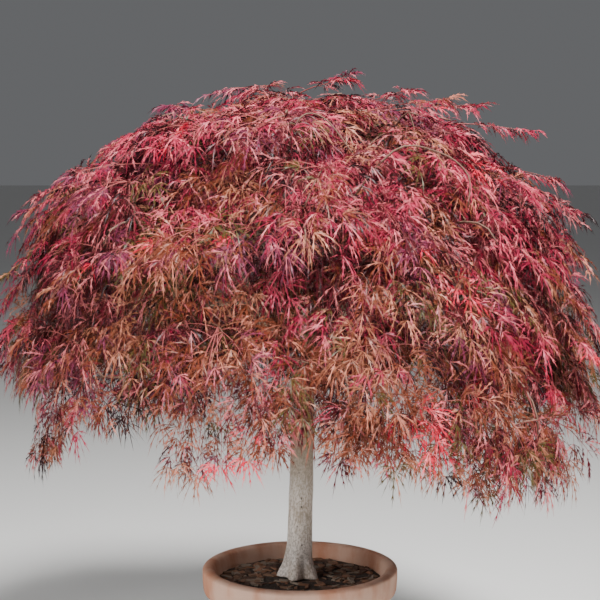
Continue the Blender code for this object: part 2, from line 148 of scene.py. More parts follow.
# Where a tint gathers besides: how far it spreads, and places by azimuth and angle from the top in degrees.
PATCH_DEPTH = 0.95
PATCH_WEIGHT = 2.6
TINT_PATCHES = (
    ("scarlet", 0.07, ((-124, 66), (-73, 54), (-65, 63), (-97, 95), (-70, 90), (-30, 84), (-37, 45))),
    ("crimson", 0.10, ((-95, 44), (-56, 62), (-46, 74), (30, 58), (130, 58))),
    ("scarlet", 0.07, ((15, 62), (60, 60), (85, 88), (110, 50), (150, 76), (178, 60))),
    ("bronze", 0.16, ((-108, 53), (-81, 70), (-88, 88), (-102, 75), (60, 80), (120, 64), (90, 40))),
    ("bronze", 0.13, ((-96, 62), (-73, 84), (-112, 88), (-86, 103), (-60, 76), (150, 84), (20, 78))),
)

# Boughs, as in the source.
BOUGH_DEPTH = 0.60
BOUGH_STEPS = 6
BOUGH_TIP_RADIUS = 0.0060
BOUGH_ARRIVAL = 0.8
# The tip's: radius, azimuth, and slant in degrees where it leaves and where it arrives.
TIP_BOUGH = (0.0100, 0.3, 84, 80)
TIP_BOUGH_END = (0.4, math.radians(5), BOUGH_DEPTH)
# The others': radius, slant where it leaves, how far down its cell it arrives, and slant there.
BOUGHS = {
    "upper": (0.0088, 44, 0.45, 22),
    "middle": (0.0108, 26, 0.32, 2),
    "skirt": (0.0078, -28, 0.22, -20),
}
# Height at which boughs leave the stem, and how much higher every second one does.
FOOT_HEIGHTS = {"upper": (0.992, 0.020), "middle": (0.915, 0.036)}
# The point of a middle bough's path that its skirt bough leaves.
SKIRT_LEAVES_AT = 3

# Spines, from a bough's tip through its mass: how far each starts back in the bough, how far it strays at its
# end, and how far down its cell and how deep in the crown it ends.
SPINE_ROOT = 0.012
SPINE_STRAY = 0.10
SPINE_END = (0.55, 0.94)
SPINE_STEPS = 8
SPINE_LEAP = 1.3

# Branches: places tried for each, the depth at which those are compared, how many of the nearest joints it
# may leave from, and how deep in the crown it ends.
PLACES_TRIED = 90
TRIAL_DEPTH = 0.9
JOINTS_TRIED = 2
BRANCH_DEPTHS = (0.72, 0.92)
TIP_BRANCH_DEPTHS = (0.83, 0.93)
BRANCH_POINTS = 8
# The points of a branch that later branches may leave from.
BRANCH_JOINTS = (3, 5)
# How far a branch arches outwards and upwards, and how it arrives: on its way and down the fall line.
BRANCH_ARCH = (0.12, 0.15)
BRANCH_ARRIVAL = (0.6, 0.5)
# Sprays at a branch's end: degrees off the fall line, how far they stand out, and their painted shade, which
# darkens their tints.
FAN = (
    (-4, 0.85, 0.0),
    (-50, 0.70, 0.0),
    (50, 0.70, 0.0),
    (-95, 0.35, 0.50),
    (95, 0.35, 0.50),
    (-26, -0.10, 0.80),
    (28, -0.10, 0.80),
)
# How far they stray from those, and how many degrees set a spray back by one point of the branch.
FAN_STRAY = 14
LIFT_STRAY = 0.12
FAN_BACK = 100
SPRAY_LENGTHS = (0.60, 1.0)
SPRAY_POINTS = 6
# How far a spray runs and drops, how it rises first (outwards and upwards), and how it arrives.
SPRAY_END = (0.92, 0.20)
SPRAY_RISE = (0.20, 0.15)
SPRAY_ARRIVAL = (0.85, 0.55)
# Where a spray's leaves begin, as a share of its length, and where in its stretch each pair of them stands.
TUFT_START = 0.42
PAIR_START = 0.2
# How a tuft's leaves head: along the twig, aside and outwards.
TUFT_SPREAD = (0.62, 0.90, 0.12)
# Sprays inside the crown: how many a branch has, how far they turn aside, and their lengths.
INNER_SPRAYS = 3
INNER_TURN = 1.6
INNER_LENGTHS = (0.55, 0.85)
# How far above its leaves a branch ends, in sprays, and how many branches a tier has for its area.
UPHILL = 0.45
CLOSENESS = {"tip": 1.5, "upper": 1.08, "middle": 1.03, "skirt": 1.5}
# The rows of a cell in which branches end, from 0 at its roof to 1 at its floor.
ROWS = {"tip": (0.0, 0.95), "upper": (0.0, 0.95), "middle": (0.0, 1.0), "skirt": (-0.20, 0.95)}
# The depth that sprays, their leaves and a shoot's leaves stay within, how often each is tried shorter, and
# by how much.
SPRAY_REACH = 1.01
LEAF_REACH = 1.035
SHOOT_REACH = 1.05
SPRAY_TRIES = (4, 0.75)
LEAF_TRIES = (3, 0.8)
# Shoots: rough length and share of it that they start deeper in, how far they leap and how far they stand out
# as they arrive. Along them, how the leaves head, on and aside, and their sizes.
SHOOT_LENGTH = 0.22
SHOOT_ROOT = 0.4
SHOOT_LEAP = 0.45
SHOOT_ARRIVAL = 0.8
SHOOT_ONWARDS = 0.6
SHOOT_ASIDE = (0.5, 0.9)
SHOOT_LEAVES = (0.6, 0.9)
# Steps between two of the places that a bare limb passes.
LIMB_STEPS = 5
# How far above the skirt's hem a spray ends, for its leaves to hang to it.
HEM_CLEARANCE = 0.020
# Distance between pairs of leaves, and the leaves' sizes in a tuft and inside the crown.
NODE_SPACING = 0.0235
LEAF_SIZES = (0.74, 1.08)
INNER_LEAF = 0.86
# The share of a spray's leaves that keep its tint.
SAME_TINT = 0.75

# Radii of the wood, from a mass's spine to a leaf's stalk.
SPINE_RADIUS = 0.0054
LIMB_RADIUS = 0.0032
BRANCH_RADIUS = 0.0028
SPRAY_RADIUS = 0.0012
TWIG_END_RADIUS = 0.0005
SPINE_END_RADIUS = 0.7 * BRANCH_RADIUS
LIMB_END_RADIUS = 0.5 * BRANCH_RADIUS
SHOOT_RADIUS = 1.5 * SPRAY_RADIUS
STALK_RADIUS = 0.0006
STALK_END_RADIUS = 0.5 * TWIG_END_RADIUS
# A leaf's stalk: its mean length, and how its length varies, how far it sags and how far it strays.
STALK_LENGTH = 0.016
STALK_LENGTHS = (0.7, 1.3)
STALK_SAG = 0.15
STALK_STRAY = 0.25

# How far a leaf's axis dips and strays, and how far its face looks outwards and upwards and strays.
LEAF_DIP = 0.16
LEAF_STRAY = 0.30
FACE_OUTWARDS = 0.8
FACE_UPWARDS = 0.6
FACE_STRAY = 0.45
# A leaf's lobes: angle off its axis in radians, length as a share of the middle lobe, and joints along it.
LOBES = (
    (0.0, 1.0, 4),
    (0.42, 0.95, 3),
    (-0.42, 0.95, 3),
    (0.86, 0.80, 3),
    (-0.86, 0.80, 3),
    (1.40, 0.50, 2),
    (-1.40, 0.50, 2),
)
# A lobe's half width along it, as (share of its length, share of the widest).
LOBE_OUTLINE = ((0.0, 0.3), (0.25, 1.0), (0.7, 0.75), (1.0, 0.0))
# A tooth, in joints from its own: where it leaves the lobe and where it ends. Its reach is in half widths.
TOOTH_FOOT = -0.32
TOOTH_TIP = 0.36
TOOTH_REACH = 4.3
LAST_TOOTH = 0.75
# How lobes differ: spread of their turn and roll in radians, their lengths, and how far they hang.
LOBE_TURN = 0.09
LOBE_ROLL = 0.75
LOBE_LENGTHS = (0.86, 1.10)
LOBE_HANGS = (0.5, 1.5)
# How far a lobe arches up, how much more the side lobes hang, and how sharply the hang grows to the tip.
LOBE_ARCH = 0.30
SIDE_HANG = 0.30
HANG_POWER = 2.2

# Share of the lobes that get a painted highlight, and how much paler those are: a paler copy of their tint
# stands for light on them. Gloss of the leaves and of the twigs.
PAINTED_HIGHLIGHT_LOBES = 0.28
PAINTED_HIGHLIGHT_PALENESS = 0.38
LEAF_SHINE = 0.15
TWIG_SHINE = 0.25
# Heights over which the sprays' painted shade, which darkens the inside of the crown, grows from nothing at
# its hem, where the light reaches, to full.
PAINTED_SHADE_HEIGHTS = (0.78, 1.00)
TINTS = ("maroon", "burgundy", "purple", "crimson", "scarlet", "rose", "bronze", "tan", "olive")
BROWN_TINTS = ("bronze", "tan", "olive")


def length_property(name, description, default):
    return FloatProperty(
        name=name, description=description, default=default, min=0.0, subtype="DISTANCE", unit="LENGTH"
    )


def share_property(name, description, default):
    return FloatProperty(name=name, description=description, default=default, subtype="FACTOR")


def power_property(name, description, default):
    return FloatProperty(name=name, description=description, default=default, min=0.0, unit="POWER")


def colour_property(name, description, default):
    return FloatVectorProperty(
        name=name, description=description, default=default, size=3, min=0.0, max=1.0, subtype="COLOR"
    )


class MapleFoliageSettings(bpy.types.PropertyGroup):
    seed: IntProperty(name="Seed", description="Seed of the crown's growth", default=11)
    spacing: length_property("Branch spacing", "Side of the patch of crown that one branch fills", 0.136)
    spray: length_property("Spray length", "Longest drooping spray", 0.142)
    leaf: length_property("Leaf length", "Middle lobe of a full-grown leaf", 0.060)
    lobe_width: length_property("Lobe width", "Width of a lobe without its teeth", 0.0022)
    droop: share_property("Droop", "How far a lobe hangs, as a share of its length", 0.26)
    roughness: share_property("Roughness", "Roughness of the leaf's waxy face", 0.40)
    # Maroon and burgundy are dealt out more where a spray's painted shade is deep, so they are partly painted
    # shade inside and under the crown.
    maroon: colour_property("Maroon", "Shaded leaves inside the crown", (0.014, 0.002, 0.003))
    burgundy: colour_property("Burgundy", "Shaded leaves of the outer crown", (0.056, 0.004, 0.008))
    purple: colour_property("Purple", "Leaves with a purple bloom", (0.125, 0.019, 0.042))
    crimson: colour_property("Crimson", "Full-grown leaves in the sun", (0.215, 0.010, 0.031))
    # Scarlet stands for young leaves, and in part for the glow of leaves with light through them, which is
    # painted light.
    scarlet: colour_property("Scarlet", "Young leaves at the tips of strong shoots", (0.470, 0.012, 0.036))
    # Rose, a paler crimson dealt out more up and to the right where the light falls, is partly painted light.
    rose: colour_property("Rose", "Leaves that catch the light", (0.350, 0.030, 0.060))
    bronze: colour_property("Bronze", "Leaves turning bronze inside the crown", (0.125, 0.028, 0.013))
    tan: colour_property("Tan", "Leaves faded by shade", (0.215, 0.074, 0.040))
    olive: colour_property("Olive", "Leaves still green under their bronze", (0.055, 0.036, 0.010))
    # Pale and straw are painted highlights: the colours that lobes with a painted highlight fade towards, on
    # red and on brown leaves.
    pale: colour_property("Pale", "What the lit lobes of red leaves fade to", (0.830, 0.215, 0.220))
    straw: colour_property("Straw", "What the lit lobes of brown leaves fade to", (0.640, 0.225, 0.155))


class MapleWoodSettings(bpy.types.PropertyGroup):
    relief: length_property("Relief", "Depth of the bark's lumps and furrows", 0.0011)
    bark_light: colour_property("Light bark", "Sunned bark low on the stem", (0.780, 0.710, 0.650))
    # Light bark is laid on more low on the stem as painted sunlight, and dark bark over the head as painted
    # shade, besides the bark's own pale patches, furrows and specks.
    bark_mid: colour_property("Bark", "Most of the bark", (0.500, 0.415, 0.340))
    bark_dark: colour_property("Dark bark", "Furrows, specks and the shaded head", (0.150, 0.108, 0.062))
    knot: colour_property("Knots", "Small scars of buds", (0.045, 0.030, 0.022))
    twig_old: colour_property("Old twigs", "Two-year wood", (0.155, 0.084, 0.060))
    twig_young: colour_property("Young twigs", "This year's wood and the leaf stalks", (0.260, 0.060, 0.055))


class MaplePotSettings(bpy.types.PropertyGroup):
    clay: colour_property("Clay", "Fired clay", (0.440, 0.175, 0.090))
    clay_dark: colour_property("Damp clay", "Clay near the base, where it stays damp", (0.270, 0.100, 0.055))
    bloom: colour_property("Bloom", "Lime that has dried on the clay", (0.640, 0.480, 0.380))
    soil: colour_property("Soil", "Potting soil", (0.050, 0.033, 0.023))
    chips: IntProperty(name="Chips", description="Pieces of bark mulch on the soil", default=420, min=0)
    chip: length_property("Chip length", "Length of the longest piece of mulch", 0.026)


class MapleStageSettings(bpy.types.PropertyGroup):
    lens: FloatProperty(name="Lens", description="Focal length", default=85.3, subtype="DISTANCE_CAMERA")
    floor: colour_property("Floor", "The plain floor", (0.74, 0.73, 0.71))
    key: power_property("Key light", "Power of the soft light above", 600.0)
    fill: power_property("Fill light", "Power of the light at the left", 115.0)
    rim: power_property("Back light", "Power of the light behind", 25.0)
    sky: FloatProperty(name="Room light", description="Strength of the light all round", default=0.14)


# --- shader maths ----------------------------------------------------------------------------


class Value:
    """A socket in an expression of shader maths: each operator adds its Math node."""

    def __init__(self, finish, socket):
        self.finish, self.socket = finish, socket

    def maths(self, operation, first, second):
        return self.finish.add("ShaderNodeMath", {"operation": operation}, {0: first, 1: second})

    def __add__(self, other):
        return self.maths("ADD", self, other)

    def __sub__(self, other):
        return self.maths("SUBTRACT", self, other)

    def __rsub__(self, other):
        return self.maths("SUBTRACT", other, self)

    def __mul__(self, other):
        return self.maths("MULTIPLY", self, other)

    __radd__ = __add__
    __rmul__ = __mul__


class Finish:
    """One procedural material, with its nodes ending in the Principled shader."""

    def __init__(self, name, roughness=0.5):
        self.material = bpy.data.materials.new(name)
        self.material.use_nodes = True
        self.tree = self.material.node_tree
        self.shader = self.tree.nodes["Principled BSDF"]
        self.shader.inputs["Roughness"].default_value = roughness

    def feed(self, socket, value):
        if isinstance(value, Value):
            self.tree.links.new(value.socket, socket)
        elif socket.type == "RGBA":
            socket.default_value = (*value, 1.0)
        else:
            socket.default_value = value

    def add(self, kind, settings, sockets, output=0):
        """A node of a type with its settings and its sockets' values or links, as the Value of an output."""
        node = self.tree.nodes.new(kind)
        for name, value in settings.items():
            setattr(node, name, value)
        for key, value in sockets.items():
            self.feed(node.inputs[key], value)
        return Value(self, node.outputs[output])

    def place(self, across=1.0, rise=1.0):
        """Object coordinates, scaled across and upwards: less than 1 draws a pattern out."""
        where = self.add("ShaderNodeTexCoord", {}, {}, "Object")
        return self.add("ShaderNodeMapping", {}, {"Vector": where, "Scale": (across, across, rise)})

    def height(self):
        where = self.add("ShaderNodeTexCoord", {}, {}, "Object")
        return self.add("ShaderNodeSeparateXYZ", {}, {0: where}, "Z")

    def noise(self, where, scale, detail=4.0, roughness=0.55):
        sockets = {"Vector": where, "Scale": scale, "Detail": detail, "Roughness": roughness}
        return self.add("ShaderNodeTexNoise", {}, sockets)

    def cells(self, where, scale):
        """Distance from the nearest of many scattered points."""
        return self.add("ShaderNodeTexVoronoi", {}, {"Vector": where, "Scale": scale})

    def ramp(self, value, start, end):
        """0 at start, 1 at end, and smooth between. The end may be the lower one."""
        settings = {"interpolation_type": "SMOOTHSTEP"}
        sockets = {"Value": value, "From Min": start, "From Max": end}
        return self.add("ShaderNodeMapRange", settings, sockets)

    def paint(self, tone, *coats):
        """A colour with coats over it, each as how far it covers and its own colour."""
        for cover, colour in coats:
            tone = self.add("ShaderNodeMix", {"data_type": "RGBA"}, {0: cover, 6: tone, 7: colour}, 2)
        return tone

    def bump(self, height, depth, strength):
        sockets = {"Height": height, "Distance": depth, "Strength": strength}
        return self.add("ShaderNodeBump", {}, sockets)

    def wear(self, colour, roughness=None, normal=None):
        self.feed(self.shader.inputs["Base Color"], colour)
        if roughness is not None:
            self.feed(self.shader.inputs["Roughness"], roughness)
        if normal is not None:
            self.feed(self.shader.inputs["Normal"], normal)
        return self.material


def plain(name, colour, roughness, shine=0.5):
    """One plain colour, for pieces of many small things that are told apart by slot."""
    finish = Finish(name, roughness)
    finish.shader.inputs["Specular IOR Level"].default_value = shine
    return finish.wear(colour)


def bark_finish(name, wood, painted_shade_from, painted_shade_to):
    """Maple bark: smooth low down, furrowed lengthwise, pale low down from painted sunlight and darker
    towards the head from painted shade.
    """
    finish = Finish(name)
    furrows = finish.noise(finish.place(rise=0.25), scale=120.0, detail=6.0, roughness=0.6)
    patches = finish.noise(finish.place(rise=0.45), scale=17.0)
    grain = finish.noise(finish.place(), scale=420.0, detail=3.0)
    speckles = finish.noise(finish.place(rise=0.6), scale=230.0, roughness=0.7)
    lenticels = 1.0 - finish.ramp(finish.cells(finish.place(rise=3.2), scale=62.0), 0.06, 0.16)
    knots = 1.0 - finish.ramp(finish.cells(finish.place(rise=0.7), scale=45.0), 0.060, 0.110)
    # Painted shade darkens the bark towards the head, where the crown shades it, and the painted sunlight
    # left below brightens the pale patches, specks and lenticels.
    head = finish.ramp(finish.height() + (patches - 0.5) * 0.10, painted_shade_from, painted_shade_to)
    painted_sunlight = 1.0 - head * 0.85
    tone = finish.paint(
        wood.bark_mid,
        (finish.ramp(patches, 0.36, 0.66) * painted_sunlight, wood.bark_light),
        (head * 0.86, wood.bark_dark),
        (finish.ramp(furrows, 0.60, 0.36) * 0.16, wood.bark_dark),
        (finish.ramp(speckles, 0.54, 0.42) * 0.50, wood.bark_dark),
        (finish.ramp(speckles, 0.56, 0.68) * 0.45 * painted_sunlight, wood.bark_light),
        (lenticels * 0.35 * painted_sunlight, wood.bark_light),
        (knots * 0.85, wood.knot),
    )
    relief = furrows * 0.30 + grain * 0.25 + lenticels * 0.35 + knots * 0.8
    rough = 0.62 + finish.ramp(furrows, 0.3, 0.7) * 0.22
    return finish.wear(tone, rough, finish.bump(relief, depth=0.0012, strength=0.8))


def clay_finish(name, pot):
    """Fired clay: sandy grain, turning marks, a damp foot and lime dried on it in patches."""
    finish = Finish(name)
    low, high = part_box("pot")
    where, height = finish.place(), finish.height()
    clouds = finish.noise(where, scale=5.5, detail=5.0, roughness=0.6)
    drips = finish.noise(finish.place(rise=0.22), scale=16.0)
    turning = finish.noise(finish.place(across=0.02), scale=210.0, detail=3.0)
    sand = finish.noise(where, scale=900.0, detail=2.0)
    pits = 1.0 - finish.ramp(finish.cells(where, scale=150.0), 0.05, 0.16)
    damp = finish.ramp(height + (clouds - 0.5) * 0.16, high.z * 0.30, low.z)
    band = finish.ramp(height + (drips - 0.5) * 0.10, high.z * 0.62, high.z * 0.86)
    lime = finish.ramp(drips * 0.5 + clouds * 0.5 + band * 0.16, 0.52, 0.72)
    tone = finish.paint(
        pot.clay,
        (finish.ramp(clouds, 0.3, 0.75) * 0.5, pot.clay_dark),
        (damp * 0.75, pot.clay_dark),
        (lime * 0.55, pot.bloom),
        (finish.ramp(sand, 0.60, 0.72) * 0.35, pot.bloom),
    )
    relief = turning * 0.5 + sand * 0.25 - pits * 0.6
    return finish.wear(tone, 0.74 + lime * 0.16, finish.bump(relief, depth=0.0008, strength=0.7))


def soil_finish(name, pot):
    """Dark, crumbly potting soil."""
    finish = Finish(name, 0.95)
    where = finish.place()
    crumbs = finish.cells(where, scale=130.0)
    fine = finish.noise(where, scale=260.0, detail=5.0, roughness=0.7)
    tone = finish.paint(
        [channel * 0.45 for channel in pot.soil],
        (finish.ramp(fine, 0.35, 0.7), pot.soil),
        (finish.ramp(crumbs, 0.35, 0.05) * 0.4, [min(channel * 2.4 + 0.02, 1.0) for channel in pot.soil]),
    )
    relief = fine * 0.6 + (1.0 - crumbs) * 0.6
    return finish.wear(tone, None, finish.bump(relief, depth=0.004, strength=1.0))


# --- the crown's own coordinates -------------------------------------------------------------


def crown_point(azimuth, polar, depth):
    """A point of the crown: polar is the angle from its top, and depth 1 is the outer surface."""
    across, up = math.sin(polar), math.cos(polar)
    power, rise = (DOME_POWER, DOME_HEIGHT) if up >= 0 else (SKIRT_POWER, SKIRT_DROP)
    swell = (across**power + abs(up) ** power) ** (-1 / power)
    radius = across * swell * CROWN_RADIUS * depth
    height = CROWN_WAIST + up * swell * rise * depth
    return Vector((radius * math.cos(azimuth), radius * math.sin(azimuth), height))


def crown_coordinates(point):
    """(azimuth, polar, depth) of a point: the reverse of crown_point."""
    radius = math.hypot(point.x, point.y) / CROWN_RADIUS
    height = point.z - CROWN_WAIST
    power, rise = (DOME_POWER, DOME_HEIGHT) if height >= 0 else (SKIRT_POWER, SKIRT_DROP)
    height /= rise
    depth = (radius**power + abs(height) ** power) ** (1 / power)
    return math.atan2(point.y, point.x), math.atan2(radius, height), depth


def tier_level(polar, depth):
    """The angle that tells the tiers apart: polar on the outer surface, and more than that inside."""
    return polar + TIER_SLOPE * (1 - depth) * math.sin(polar)


def polar_at(level, depth):
    """The reverse of tier_level."""
    polar = level
    for _ in range(12):
        polar = level - TIER_SLOPE * (1 - depth) * math.sin(polar)
    return polar


def in_crown(point, depth):
    """Whether a point lies no further out than a depth of the crown."""
    return crown_coordinates(point)[2] < depth


def fall_line(point):
    """(outward normal, downhill direction) of the crown's surface near a point."""
    radial = Vector((point.x, point.y, 0.0))
    radial = radial.normalized() if radial.length > 1e-6 else Vector((1.0, 0.0, 0.0))
    polar = crown_coordinates(point)[1]
    normal = (radial * math.sin(polar) + UP * max(math.cos(polar), UNDERSIDE_TURN)).normalized()
    return normal, (radial * normal.z - UP * normal.dot(radial)).normalized()


class Cell:
    """One mass's space: a sector of one tier of the crown."""

    def __init__(self, tier, index):
        self.tier, count, first, top, bottom = TIERS[tier]
        self.index = index
        self.title = self.tier + (f"_{index + 1}" if count > 1 else "")
        self.centre = math.radians(first) + index * 2 * math.pi / count
        self.half_width = math.pi / count
        self.top, self.bottom = math.radians(top), math.radians(bottom)
        if self.tier == "skirt":
            self.bottom = self.top + (self.bottom - self.top) * SKIRT_TRAILS[index]

    def point(self, across, down, depth):
        """across is -1 to 1 over the cell's width, and down 0 at its roof to 1 at its floor."""
        level = self.top + (self.bottom - self.top) * down
        return crown_point(self.centre + across * self.half_width, polar_at(level, depth), depth)

    def turn_to(self, azimuth):
        """The angle from the cell's middle to an azimuth, at most half a turn either way."""
        return (azimuth - self.centre + math.pi) % (2 * math.pi) - math.pi

    def spans(self, azimuth, level):
        """Whether a place on the crown's outer surface is in the cell, or below it where that is a skirt."""
        bottom = math.pi if self.tier == "skirt" else self.bottom
        return abs(self.turn_to(azimuth)) <= self.half_width and self.top <= level < bottom

    def area(self, steps=6):
        """Rough area of the cell's outer surface."""
        total = 0.0
        for row in range(steps):
            for column in range(steps):
                across, down = 2 * column / steps - 1, row / steps
                corner = self.point(across, down, 1.0)
                beside = self.point(across + 2 / steps, down, 1.0) - corner
                below = self.point(across, down + 1 / steps, 1.0) - corner
                total += beside.cross(below).length
        return total

    def hangs_clear(self, point):
        """Whether a point stays above the hem, if the cell is a skirt's."""
        azimuth, polar, depth = crown_coordinates(point)
        across = min(1.0, abs(self.turn_to(azimuth)) / self.half_width)
        hem = self.bottom - (self.bottom - self.top) * SCALLOP * across**2
        return self.tier != "skirt" or tier_level(polar, depth) < hem


# --- boughs, by the source's rule ------------------------------------------------------------


def hermite(start, start_pull, end, end_pull, steps):
    """Points on the smooth curve that leaves start along start_pull and arrives along end_pull."""
    points = []
    for i in range(steps + 1):
        t = i / steps
        points.append(
            start * (2 * t**3 - 3 * t**2 + 1)
            + start_pull * (t**3 - 2 * t**2 + t)
            + end * (3 * t**2 - 2 * t**3)
            + end_pull * (t**3 - t**2)
        )
    return points


def node_tree(name):
    """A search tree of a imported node's faces."""
    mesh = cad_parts[name].data
    places = [vert.co.copy() for vert in mesh.vertices]
    return BVHTree.FromPolygons(places, [face.vertices[:] for face in mesh.polygons])


def seat(tree, target, direction, radius):
    """The centre of a flat foot that leaves target along direction and clears its host."""
    side = direction.orthogonal().normalized()
    other = direction.cross(side)
    start = 0.15
    furthest = 0.0
    # Rays run back to the host from all over the foot's disk.
    for share in (0.0, 0.3, 0.6, 0.8, 1.0):
        for degrees in range(0, 360, 10):
            angle = math.radians(degrees)
            offset = (side * math.cos(angle) + other * math.sin(angle)) * radius * share
            distance = tree.ray_cast(target + direction * start + offset, -direction, start)[3]
            if distance is not None:
                furthest = max(furthest, start - distance)
    return target + direction * (furthest + FOOT_CLEARANCE)


def stem_centre(height):
    """The stem's axis at a height above its foot: it leans and bows a little."""
    share = min(height / (STEM_TOP.z - STEM_FOOT.z), 1.0)
    place = STEM_FOOT.lerp(STEM_TOP, share)
    bow = STEM_BOW * math.sin(math.pi * share)
    return Vector((place.x + bow * STEM_BOW_ASIDE, place.y + bow, STEM_FOOT.z + height))


def outward(azimuth, slant):
    """A unit vector out along an azimuth and up by a slant in degrees."""
    rise = math.radians(slant)
    flat = math.cos(rise)
    return Vector((math.cos(azimuth) * flat, math.sin(azimuth) * flat, math.sin(rise)))


class Bough:
    """One tapering limb, from inside its host to the edge of the mass that it carries."""

    def __init__(self, cell, host, target, leave, end, arrive, radius):
        foot = seat(host, target, leave, radius)
        reach = (end - foot).length
        self.cell, self.radius, self.target, self.arrive = cell, radius, target, arrive
        self.pulls = (leave * reach, arrive * reach * BOUGH_ARRIVAL)
        self.foot, self.end = foot, end
        self.path = self.curve(BOUGH_STEPS)

    def curve(self, steps):
        return hermite(self.foot, self.pulls[0], self.end, self.pulls[1], steps)


@functools.lru_cache
def grow_boughs():
    """Every bough of the crown: the skirt's leave the middle boughs over them, and the rest the stem."""
    stem = node_tree("stem")
    hosts, boughs = {}, []
    for tier, (name, count, *_) in enumerate(TIERS):
        for index in range(count):
            cell = Cell(tier, index)
            if name == "tip":
                radius, azimuth, leave, arrive = TIP_BOUGH
                end = crown_point(*TIP_BOUGH_END)
            else:
                radius, leave, down, arrive = BOUGHS[name]
                azimuth = cell.centre
                end = cell.point(0.0, down, BOUGH_DEPTH)
            host, target = stem, STEM_TOP
            if name == "skirt":
                host, path = hosts[index]
                target = path[SKIRT_LEAVES_AT]
            elif name != "tip":
                height, stagger = FOOT_HEIGHTS[name]
                target = stem_centre(height + stagger * (index % 2) - STEM_FOOT.z)
            leave, arrive = outward(azimuth, leave), outward(azimuth, arrive)
            bough = Bough(cell, host, target, leave, end, arrive, radius)
            if name == "middle":
                hosts[index] = (node_tree(f"bough_{cell.title}"), bough.path)
            boughs.append(bough)
    return boughs


# --- growth of the crown ---------------------------------------------------------------------


